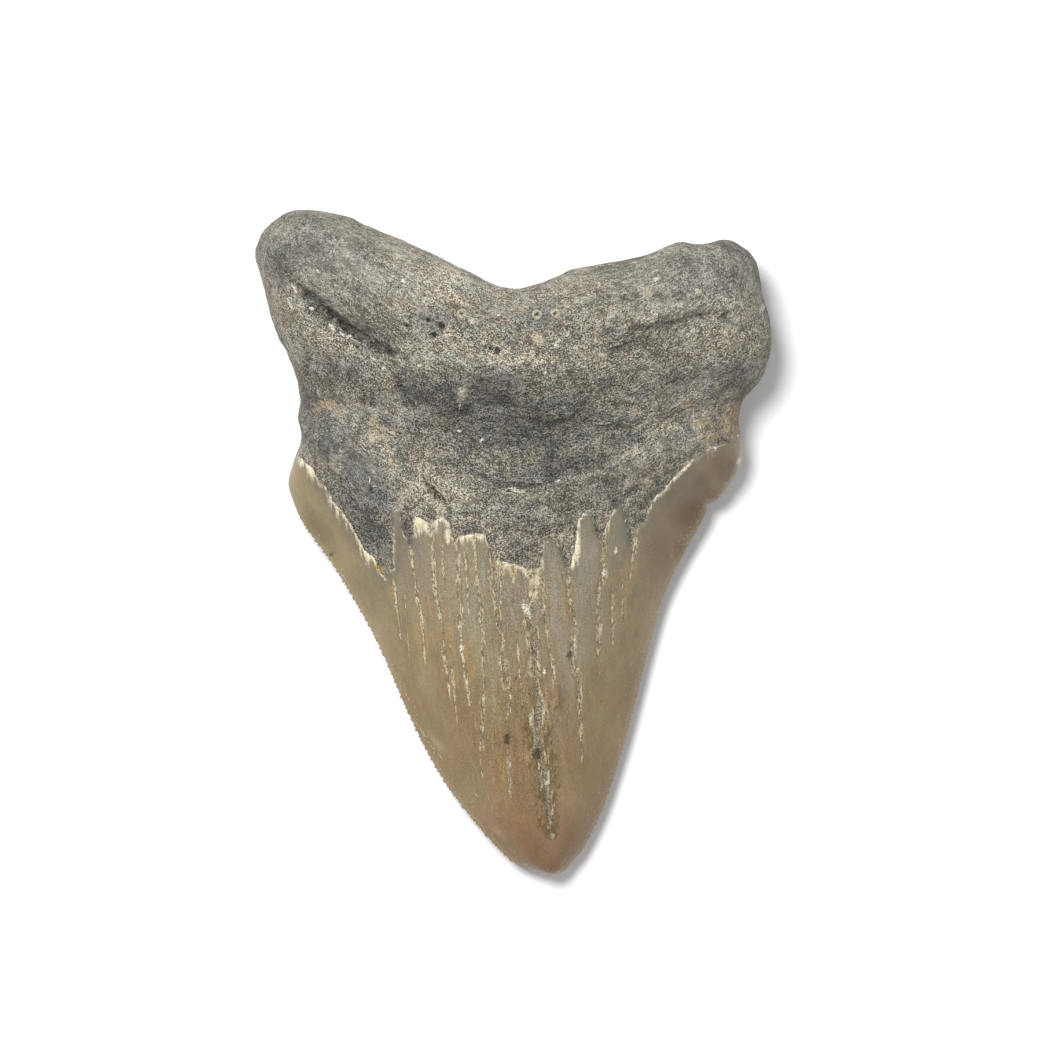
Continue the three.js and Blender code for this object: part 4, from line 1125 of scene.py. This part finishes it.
def root_bone_group():
    sockets = "Place, Fibres, Into Enamel, Stain, Shade, Pale, Grit, Furrow"
    w, given, leave = new_group("root bone", sockets, "Colour, Roughness, Height")
    place, along_fibres, inward, stain, shade, pale, grit, furrow = given
    streak = w.noise(along_fibres, (0.7, 1.8, 1.8), 3, 0.6, 0.8)
    upright = w.noise(place, (2.2, 0.6, 1.2), 3, 0.6, 0.5)
    wrinkle = w.blend_numbers(w.between(inward, -7.0, -2.5), streak, upright)
    grain = w.noise(along_fibres, (2.0, 3.6, 3.6), 2, 0.7, 1.0)
    speck = w.noise(place, 5.5, 2, 0.6)
    curl = w.noise(along_fibres, (1.2, 1.9, 1.9), 2, 0.7, 1.5)
    thread = w.between(w.math("ABSOLUTE", w.swing((curl, 1.0))), 0.06, 0.0, -0.18, 0.3)
    lump = w.noise(place, 0.9, 3, 0.65, 0.4)
    cloud = w.noise(place, 0.21)
    coarse = w.times(grit, w.between(w.noise(place, 0.35), 0.36, 0.64, 0.62, 1.3))
    speckle = w.times(w.plus(w.swing((grain, 1.5), (speck, 2.9)), thread), coarse)
    uneven = w.times(w.swing((wrinkle, 1.0), (lump, 1.2)), grit)
    light = w.plus(speckle, uneven, w.swing((cloud, 1.0)))
    sandy = w.times(w.swing((speck, 1.4)), w.between(grit, 0.8, 1.0))
    light = w.plus(light, sandy, 0.5)
    colour = w.blend(w.between(light, 0.08, 0.54), BONE_DARK, BONE_MID)
    colour = w.blend(w.between(light, 0.46, 0.98), colour, BONE_PALE)
    tint = w.blend(w.between(w.noise(place, 0.4), 0.36, 0.64), BONE_COOL, BONE_WARM)
    tint = w.blend(w.between(grit, 0.95, 0.6), tint, BONE_SMOOTH)
    tint = w.vector("MULTIPLY", tint, w.blend(shade, (1.0, 1.0, 1.0), BONE_SHADED))
    colour = w.vector("MULTIPLY", colour, tint)
    stained = w.between(w.plus(stain, w.swing((lump, 0.8), (grain, 0.7))), 0.15, 0.85)
    tan = w.scaled(BONE_TAN, w.between(light, 0.1, 0.9, 0.6, 1.3))
    colour = w.blend(w.times(stained, 0.8), colour, tan)
    # Pale and Shade are partly the bone's tone, partly painted light and shade; Furrow is painted shade.
    gains = ((pale, 0.5), (shade, -0.54), (furrow, -0.7))
    bright = w.times(*(w.math("MULTIPLY_ADD", mark, gain, 1.0) for mark, gain in gains))
    w.feed(leave, {"Colour": w.scaled(colour, bright), "Roughness": w.between(light, 0.2, 0.8, 0.7, 0.88)})
    height = w.swing((grain, 0.2), (speck, 0.08), (wrinkle, 0.4), (lump, 0.7))
    w.feed(leave, {"Height": w.math("MULTIPLY_ADD", furrow, -0.3, height)})
    return w.tree


root_bone = root_bone_group()
print("nodes of the root bone:", len(root_bone.nodes))

# %% [markdown]
# Use left hair cracks in the enamel, some pale and some brown, and tiny pale scuffs, most of them near
# the cutting edges. Both are noise of which only the highest or lowest values show.

# %% Hair cracks and scuffs of the enamel
SCUFF_PALE = (0.400, 0.350, 0.250)
HAIR_BROWN = (0.105, 0.074, 0.036)


def worn_enamel(w, place, leaning, mottle, from_edge, fibrous, colour):
    hairs = w.noise(leaning, (4.2, 0.1, 0.8), 2, 0.55)
    broken = w.times(w.between(mottle, 0.38, 0.52), fibrous)
    pale_hair = w.times(w.between(hairs, 0.64, 0.7), broken)
    colour = w.blend(w.times(pale_hair, 0.5), colour, SCUFF_PALE)
    dark_hair = w.times(w.between(hairs, 0.37, 0.31), broken)
    colour = w.blend(w.times(dark_hair, 0.7), colour, HAIR_BROWN)
    scuffed = w.plus(w.noise(place, 2.6, 2, 0.6), w.between(from_edge, 2.6, 0.4, 0.0, 0.1))
    return w.blend(w.between(scuffed, 0.72, 0.78, 0.0, 0.6), colour, SCUFF_PALE)


# %% [markdown]
# Crumbs of cream mineral lie along the enamel's border, and they are ochre where the stain is strong.
# They run down the blade in drips, wide in some places and gone in others.

# %% Crumbs along the border
RIM_CREAM = (0.700, 0.630, 0.460)
RIM_OCHRE = (0.420, 0.260, 0.075)


def border_crumbs(w, place, leaning, ragged, speck, inward, rim_width, stain):
    """Where the crumbs lie, how strongly they show there, and their colour."""
    drips = w.noise(leaning, (2.0, 0.14, 0.5), 2, 0.6)
    reach = w.times(rim_width, w.between(drips, 0.34, 0.64, 0.8, 4.4))
    rim = w.plus(w.math("DIVIDE", inward, reach), w.swing((ragged, 1.5), (speck, 3.0)))
    rim = w.between(rim, 1.3, 0.3)
    kind = w.between(w.plus(stain, w.swing((ragged, 0.5))), 0.45, 0.9)
    colour = w.blend(kind, RIM_CREAM, RIM_OCHRE)
    colour = w.scaled(colour, w.between(speck, 0.34, 0.62, 0.66, 1.28))
    patchy = w.between(w.noise(place, 0.7, 3, 0.55), 0.4, 0.6)
    lasting = w.math("MAXIMUM", w.between(rim_width, 0.08, 0.25), patchy)
    return rim, w.times(lasting, 0.95, rim), colour


# %% [markdown]
# The enamel is khaki and satin-smooth, greyer at the top of the blade and browner towards the tip.
# Where the cracks crowd, it is also streaked along its fibres. These lean a little, as the cracks do,
# so the streaks are read on a slanted X.

# %% Blade enamel
ENAMEL_GREY = (0.208, 0.181, 0.126)
ENAMEL_EDGE = (0.240, 0.188, 0.108)
ENAMEL_BROWN = (0.202, 0.136, 0.068)
ENAMEL_TIP = (0.200, 0.116, 0.056)
ENAMEL_LIGHT = (0.330, 0.250, 0.145)
ENAMEL_DARK = (0.126, 0.082, 0.044)
ENAMEL_OCHRE = (0.285, 0.190, 0.078)
ENAMEL_ROSY = (1.03, 0.995, 1.0)
ENAMEL_OLIVE = (0.97, 1.01, 0.97)
THIN_ENAMEL = (0.130, 0.122, 0.096)
FIBRE_LEAN = 0.085


def blade_enamel_group():
    sockets = "Place, From Edge, Into Enamel, Rim, Stain, Shade, Pale, Fibrous"
    w, given, leave = new_group("blade enamel", sockets, "Colour, Roughness, Height")
    place, from_edge, inward, rim_width, stain, shade, pale, fibrous = given
    x, y, z = w.parts(place)
    leaning = w.add("ShaderNodeCombineXYZ", {0: w.math("MULTIPLY_ADD", y, FIBRE_LEAN, x), 1: y, 2: z})
    streak = w.noise(leaning, (1.6, 0.12, 0.5), 3, 0.6, 0.3)
    fine = w.noise(leaning, (5.0, 0.6, 1.2), 2, 0.6)
    cloud = w.noise(leaning, (0.24, 0.12, 0.2))
    mottle = w.noise(leaning, (1.3, 0.5, 1.0))
    ragged = w.noise(leaning, (2.6, 1.6, 2.0), 3, 0.65)
    speck = w.noise(place, 5.5, 2, 0.6)
    lowness = w.plus(y, w.times(w.swing((cloud, 1.0)), 30.0))
    colour = w.blend(w.between(from_edge, 9.0, 1.5), ENAMEL_GREY, ENAMEL_EDGE)
    colour = w.blend(w.between(lowness, -6.0, -28.0), colour, ENAMEL_BROWN)
    colour = w.blend(w.between(y, -30.0, -42.0), colour, ENAMEL_TIP)
    # Pale and Shade on the blade are partly its tone, partly painted light and painted shade.
    colour = w.blend(pale, colour, ENAMEL_LIGHT)
    colour = w.blend(shade, colour, ENAMEL_DARK)
    stained = w.between(w.plus(stain, w.swing((streak, 0.8), (mottle, 0.8))), 0.2, 0.85)
    colour = w.blend(w.times(stained, 0.8), colour, ENAMEL_OCHRE)
    colour = w.blend(w.between(from_edge, 0.8, 0.0, 0.0, 0.35), colour, ENAMEL_LIGHT)
    thin = w.times(w.between(inward, 2.4, 0.0), w.between(rim_width, 0.34, 0.2))
    colour = w.blend(w.times(thin, 0.6), colour, THIN_ENAMEL)
    streaked = w.times(w.swing((streak, 0.8), (fine, 0.9), (speck, 2.2)), fibrous)
    bright = w.plus(streaked, w.swing((cloud, 0.4), (mottle, 0.3), (speck, 0.5)), 1.0)
    colour = w.scaled(colour, bright)
    hue = w.noise(leaning, (0.3, 0.1, 0.3))
    colour = w.vector("MULTIPLY", colour, w.blend(w.between(hue, 0.4, 0.6), ENAMEL_ROSY, ENAMEL_OLIVE))
    colour = worn_enamel(w, place, leaning, mottle, from_edge, fibrous, colour)
    rim, shown, rim_colour = border_crumbs(w, place, leaning, ragged, speck, inward, rim_width, stain)
    colour = w.blend(shown, colour, rim_colour)
    rough = w.blend_numbers(rim, w.between(mottle, 0.3, 0.7, 0.38, 0.48), 0.8)
    w.feed(leave, {"Colour": colour, "Roughness": rough})
    height = w.swing((streak, 0.06), (fine, 0.02), (mottle, 0.05))
    w.feed(leave, {"Height": w.math("MULTIPLY_ADD", rim, w.swing((ragged, 0.35), (speck, 0.08)), height)})
    return w.tree


blade_enamel = blade_enamel_group()
print("nodes of the blade enamel:", len(blade_enamel.nodes))

# %% [markdown]
# The cracks hold crumbs: cream mineral, ochre, and dark dirt in the widest ones. The group gets how far
# across a crack a place is and how wide the crack is there. It gives where the crumbs lie, their colour
# and their lumps, a painted shadow as a fine dark line along one side, mixed with dark dust in the
# halo, and a halo where the ochre soaked into the enamel.

# %% Crumbs in the cracks
CRUMB_CREAM = (0.560, 0.485, 0.330)
CRUMB_OCHRE = (0.272, 0.200, 0.102)
CRUMB_GREY_DARK = (0.090, 0.073, 0.048)
CRUMB_GREY_PALE = (0.385, 0.338, 0.252)
SHADOW_AND_DUST_BROWN = (0.085, 0.062, 0.036)
SOAKED_OCHRE = (0.232, 0.166, 0.082)
SOAKED_BROWN = (0.108, 0.064, 0.018)


def crumbs_group():
    sockets = "Place, Across, Half Width, Darkness"
    w, given, leave = new_group("crumbs", sockets, "Mask, Colour, Height, Line, Halo")
    place, across, half, darkness = given
    lengthways = w.vector("MULTIPLY", place, (1.0, 0.36, 1.0))
    swelling = w.noise(lengthways, 0.9)
    ragged = w.noise(place, (3.4, 1.5, 3.4), 3, 0.7)
    grain = w.noise(place, (5.2, 3.8, 5.2), 2, 0.7)
    dust = w.noise(place, (4.6, 2.8, 4.6), 2, 0.6, 0.6)
    flake = w.noise(place, (2.6, 0.9, 2.6))
    kind = w.noise(lengthways, 1.1)
    wander = w.swing((w.noise(lengthways, 0.8, 2, 0.5), 1.4))
    moved = w.math("MULTIPLY_ADD", wander, half, across)
    far = w.math("ABSOLUTE", moved)
    narrowest = w.between(half, 0.3, 0.7, 0.2, 0.8)
    room = w.times(half, w.between(swelling, 0.38, 0.62, narrowest, 1.5))
    ratio = w.math("DIVIDE", far, w.math("MAXIMUM", room, 0.03))
    ratio = w.plus(ratio, w.swing((ragged, 2.2), (grain, 4.2)))
    there = w.between(half, 0.02, 0.07)
    mask = w.times(w.between(ratio, 1.4, 0.4), there)
    # A painted shadow: a fine dark line along one side of the crumbs.
    side = w.math("ABSOLUTE", w.math("MULTIPLY_ADD", half, 0.9, moved))
    line = w.times(w.between(side, 0.16, 0.03), w.between(kind, 0.46, 0.58))
    halo = w.math("DIVIDE", far, w.plus(half, 0.14))
    halo = w.between(w.plus(halo, w.swing((kind, 7.0), (ragged, 8.0))), 2.6, 0.8)
    halo = w.times(halo, there)
    mask = w.math("MAXIMUM", mask, w.times(w.between(dust, 0.62, 0.72, 0.0, 0.8), halo))
    line = w.math("MAXIMUM", line, w.times(w.between(dust, 0.4, 0.3), halo))
    ochre = w.between(w.plus(kind, w.swing((flake, 0.9))), 0.52, 0.38)
    colour = w.blend(ochre, CRUMB_CREAM, CRUMB_OCHRE)
    colour = w.blend(w.between(grain, 0.5, 0.32), colour, CRUMB_GREY_DARK)
    colour = w.scaled(colour, w.between(flake, 0.35, 0.65, 0.85, 1.15))
    middle = w.between(w.math("DIVIDE", far, w.math("MAXIMUM", half, 0.03)), 1.0, 0.2)
    core = w.math("MULTIPLY_ADD", middle, darkness, w.swing((flake, 1.8), (kind, 3.0)))
    grey = w.blend(w.between(grain, 0.38, 0.66), CRUMB_GREY_DARK, CRUMB_GREY_PALE)
    colour = w.blend(w.between(core, 0.4, 0.7), colour, grey)
    w.feed(leave, {"Mask": mask, "Colour": colour, "Halo": halo})
    w.feed(leave, {"Line": w.times(line, there), "Height": w.swing((grain, 0.2), (flake, 0.25))})
    return w.tree


crumbs = crumbs_group()
print("nodes of the crumbs:", len(crumbs.nodes))

# %% [markdown]
# The furrows of the root get painted shade. It ends sharply on the upper side of a furrow, and on the
# lower side it thins out over the bone, as if lit from above.

# %% Painted shade in the furrows
FURROW_ABOVE, FURROW_BELOW = 1.0, 2.6


def furrow_darkness(w, place):
    """Painted shade at a furrow, with a crisper upper side and a soft lower one."""
    across, half, darkness = w.parts(w.stored("furrow", "Vector"))
    above = w.math("DIVIDE", across, w.times(half, -FURROW_ABOVE))
    below = w.math("DIVIDE", across, w.times(half, FURROW_BELOW))
    ragged = w.swing((w.noise(place, 0.9, 4, 0.65), 1.6))
    mask = w.between(w.plus(w.math("MAXIMUM", above, below), ragged), 1.1, -0.1)
    return w.times(mask, darkness, w.between(half, 0.05, 0.35))


# %% [markdown]
# The blood-vessel holes are dark, and some have a pale ring with a dark moat around it. The dark in a
# hole and in its moat is painted shade. Noise is added to the way from the middle, so that no ring is a
# perfect circle.

# %% Holes and their rings
HOLE_SHADE = (0.040, 0.036, 0.030)
RING_CREAM = (0.500, 0.455, 0.330)


def round_mark(w, name):
    """How far out a place is in the nearest round mark, with 1 at its rim, and the mark's own value."""
    way = w.stored(name, "Vector")
    return w.vector("LENGTH", w.vector("MULTIPLY", way, (1.0, 1.0, 0.0)), out=1), w.parts(way)[2]


def with_holes(w, place, grains, colour, height):
    hole, paleness = round_mark(w, "hole")
    hole = w.plus(hole, w.swing((w.noise(place, 2.4, 2, 0.6), 2.0), (grains, 3.2)))
    # The moat and the pit are painted shade.
    moat = w.times(w.between(hole, 4.2, 3.0), w.between(paleness, 0.1, 0.7))
    colour = w.blend(w.times(moat, 0.35), colour, HOLE_SHADE)
    ring = w.times(w.between(hole, 3.6, 2.6), w.between(paleness, 0.1, 0.6))
    ring_colour = w.scaled(RING_CREAM, w.between(grains, 0.3, 0.7, 0.65, 1.15))
    colour = w.blend(w.times(ring, 0.9), colour, ring_colour)
    pit = w.between(hole, 1.5, 0.5)
    colour = w.blend(w.times(pit, 0.88), colour, HOLE_SHADE)
    return colour, w.math("MULTIPLY_ADD", pit, -0.4, height)


# %% [markdown]
# The flecks lie on top of all else. One number is a fleck's kind and picks its colour: white, tan or
# dark brown, or something between two of them.

# %% Flecks
FLECK_WHITE = (0.800, 0.770, 0.660)
FLECK_TAN = (0.420, 0.345, 0.210)
BLOT_BROWN = (0.060, 0.036, 0.016)


def with_flecks(w, place, grains, colour, height):
    fleck, kind = round_mark(w, "fleck")
    uneven = w.swing((w.noise(place, 1.6, 2, 0.6), 1.1), (grains, 2.2))
    fleck = w.between(w.plus(fleck, uneven), 1.3, 0.6)
    fleck_colour = w.blend(w.math("MINIMUM", kind, 1.0), FLECK_WHITE, FLECK_TAN)
    fleck_colour = w.blend(w.math("SUBTRACT", kind, 1.0, clamp=True), fleck_colour, BLOT_BROWN)
    fleck_colour = w.scaled(fleck_colour, w.between(grains, 0.36, 0.64, 1.15, 0.6))
    colour = w.blend(w.times(fleck, 0.85), colour, fleck_colour)
    return colour, w.math("MULTIPLY_ADD", fleck, 0.1, height)


# %% [markdown]
# One material joins them: bone or enamel by the border, crumbs in the enamel, then the holes and the
# flecks. A Bump node turns the heights, in millimetres, into small-scale relief, and the Principled
# shader gets plain numbers for all that doesn't change.

# %% The fossil's material
ENAMEL_STEP = 0.15
FILLING_ROUGHNESS = 0.85
ENAMEL_COAT = 0.2
FINISH = {"Coat Roughness": 0.22, "IOR": 1.5, "Specular IOR Level": 0.35}


def fossil_material():
    material = bpy.data.materials.new("fossil tooth")
    material.use_nodes = True
    tree = material.node_tree
    tree.nodes.clear()
    w = Wiring(tree)
    place = w.scaled(w.add("ShaderNodeTexCoord", out="Object"), 1 / MM)
    scallops = w.swing((w.noise(place, 2.2, 3, 0.65), 0.6), (w.noise(place, 0.6, 2, 0.5), 0.8))
    border_way = w.plus(w.stored("into_enamel"), scallops)
    is_enamel = w.between(border_way, -0.05, 0.05)
    stain, shade, pale = w.parts(w.stored("tone", "Vector"))
    grit = w.stored("grit")
    crack_across, crack_half, crack_dark = w.parts(w.stored("crack", "Vector"))

    tones = {"Place": place, "Into Enamel": border_way, "Stain": stain, "Shade": shade, "Pale": pale}
    furrow = furrow_darkness(w, place)
    bone_inputs = {"Fibres": w.stored("fibres", "Vector"), "Grit": grit, "Furrow": furrow}
    bone = w.group(root_bone, {**tones, **bone_inputs})
    enamel_inputs = {"From Edge": w.stored("from_edge"), "Fibrous": grit, "Rim": w.stored("crumb_width")}
    enamel = w.group(blade_enamel, {**tones, **enamel_inputs})
    filling = {"Place": place, "Across": crack_across, "Half Width": crack_half, "Darkness": crack_dark}
    crack = w.group(crumbs, filling)

    soak = w.blend(w.between(crack_dark, 0.5, 1.0), SOAKED_OCHRE, SOAKED_BROWN)
    soaking = w.times(crack["Halo"], w.between(crack_dark, 0.5, 1.0, 0.3, 0.95))
    soaked = w.blend(soaking, enamel["Colour"], soak)
    # The dark line is painted shadow, together with the dark dust in the halo.
    soaked = w.blend(w.times(crack["Line"], 0.5), soaked, SHADOW_AND_DUST_BROWN)
    filled = w.blend(crack["Mask"], soaked, crack["Colour"])
    colour = w.blend(is_enamel, bone["Colour"], filled)
    enamel_height = w.math("MULTIPLY_ADD", crack["Mask"], crack["Height"], enamel["Height"])
    enamel_height = w.plus(enamel_height, ENAMEL_STEP)
    height = w.blend_numbers(is_enamel, bone["Height"], enamel_height)
    rough = w.blend_numbers(crack["Mask"], enamel["Roughness"], FILLING_ROUGHNESS)
    rough = w.blend_numbers(is_enamel, bone["Roughness"], rough)

    grains = w.noise(place, 3.8, 2, 0.6)
    colour, height = with_holes(w, place, grains, colour, height)
    colour, height = with_flecks(w, place, grains, colour, height)
    bump = w.add("ShaderNodeBump", {"Strength": 1.0, "Distance": MM, "Height": height})
    satin = w.times(w.math("SUBTRACT", is_enamel, crack["Mask"], clamp=True), ENAMEL_COAT)
    worked_out = {"Base Color": colour, "Roughness": rough, "Normal": bump, "Coat Weight": satin}
    shader = w.add("ShaderNodeBsdfPrincipled", {**worked_out, **FINISH})
    w.add("ShaderNodeOutputMaterial", {"Surface": shader})
    return material


tooth_mesh.materials.append(fossil_material())
print("nodes in the material:", len(tooth_mesh.materials[0].node_tree.nodes))

# %% [markdown]
# The tooth lies on a plain pale table under soft light, as in a studio. A wide lamp hangs above and
# behind the root, a little to the left, so that the ridge shades the hollow below it. A pale surround
# fills the rest.

# %% Table and light
TABLE_SIZE = 3.0
TABLE_GAP = 0.00002
TABLE_COLOUR, TABLE_ROUGHNESS = (0.86, 0.86, 0.87, 1), 0.9
# Name, place in metres, width in metres and power in watts.
LAMPS = [("overhead", (-0.25, 0.32, 0.8), 0.4, 10.0), ("fill", (0.5, -0.4, 0.6), 0.6, 1.2)]
SURROUND_COLOUR, SURROUND_STRENGTH = (1.0, 1.0, 1.0, 1), 0.4


def pale_table():
    bm = bmesh.new()
    bmesh.ops.create_grid(bm, x_segments=2, y_segments=2, size=TABLE_SIZE / 2)
    bmesh.ops.translate(bm, vec=(0, 0, -TABLE_GAP), verts=bm.verts)
    mesh = bpy.data.meshes.new("table")
    bm.to_mesh(mesh)
    bm.free()
    material = bpy.data.materials.new("pale table")
    material.use_nodes = True
    finish = material.node_tree.nodes["Principled BSDF"].inputs
    finish["Base Color"].default_value = TABLE_COLOUR
    finish["Roughness"].default_value = TABLE_ROUGHNESS
    mesh.materials.append(material)
    place_in_scene("table", mesh)


def soft_lamp(name, place, width, power):
    light = bpy.data.lights.new(name, "AREA")
    light.shape = "DISK"
    light.size = width
    light.energy = power
    lamp = place_in_scene(name, light)
    lamp.location = place
    lamp.rotation_euler = (-Vector(place)).to_track_quat("-Z", "Y").to_euler()


pale_table()
for lamp_row in LAMPS:
    soft_lamp(*lamp_row)
surround = bpy.data.worlds.new("pale surround")
surround.use_nodes = True
background = surround.node_tree.nodes["Background"].inputs
background["Color"].default_value = SURROUND_COLOUR
background["Strength"].default_value = SURROUND_STRENGTH
bpy.context.scene.world = surround
bpy.context.scene.view_settings.view_transform = "Standard"
print("lamps:", len(LAMPS))

# %% [markdown]
# The camera looks straight down on the tooth. It stands far off with a long lens, so that the high
# ridge isn't drawn larger than the low tip. The photo shows 7.5 of its points to a millimetre, which
# gives the width that the camera has to take in.

# %% Camera
PHOTO_WIDTH = 1060
POINTS_PER_MM = 7.5
VIEW_MIDDLE = (2.2, 2.9)
CAMERA_ABOVE = 1500.0
RIM_LEVEL = 5.0
SENSOR_WIDTH = 36.0

view_width = PHOTO_WIDTH / POINTS_PER_MM
camera_data = bpy.data.cameras.new("camera")
camera_data.sensor_width = SENSOR_WIDTH
camera_data.lens = SENSOR_WIDTH * CAMERA_ABOVE / view_width
camera = place_in_scene("camera", camera_data)
camera.location = [distance * MM for distance in (*VIEW_MIDDLE, CAMERA_ABOVE + RIM_LEVEL)]
bpy.context.scene.camera = camera
print("lens, mm:", round(camera_data.lens, 1))
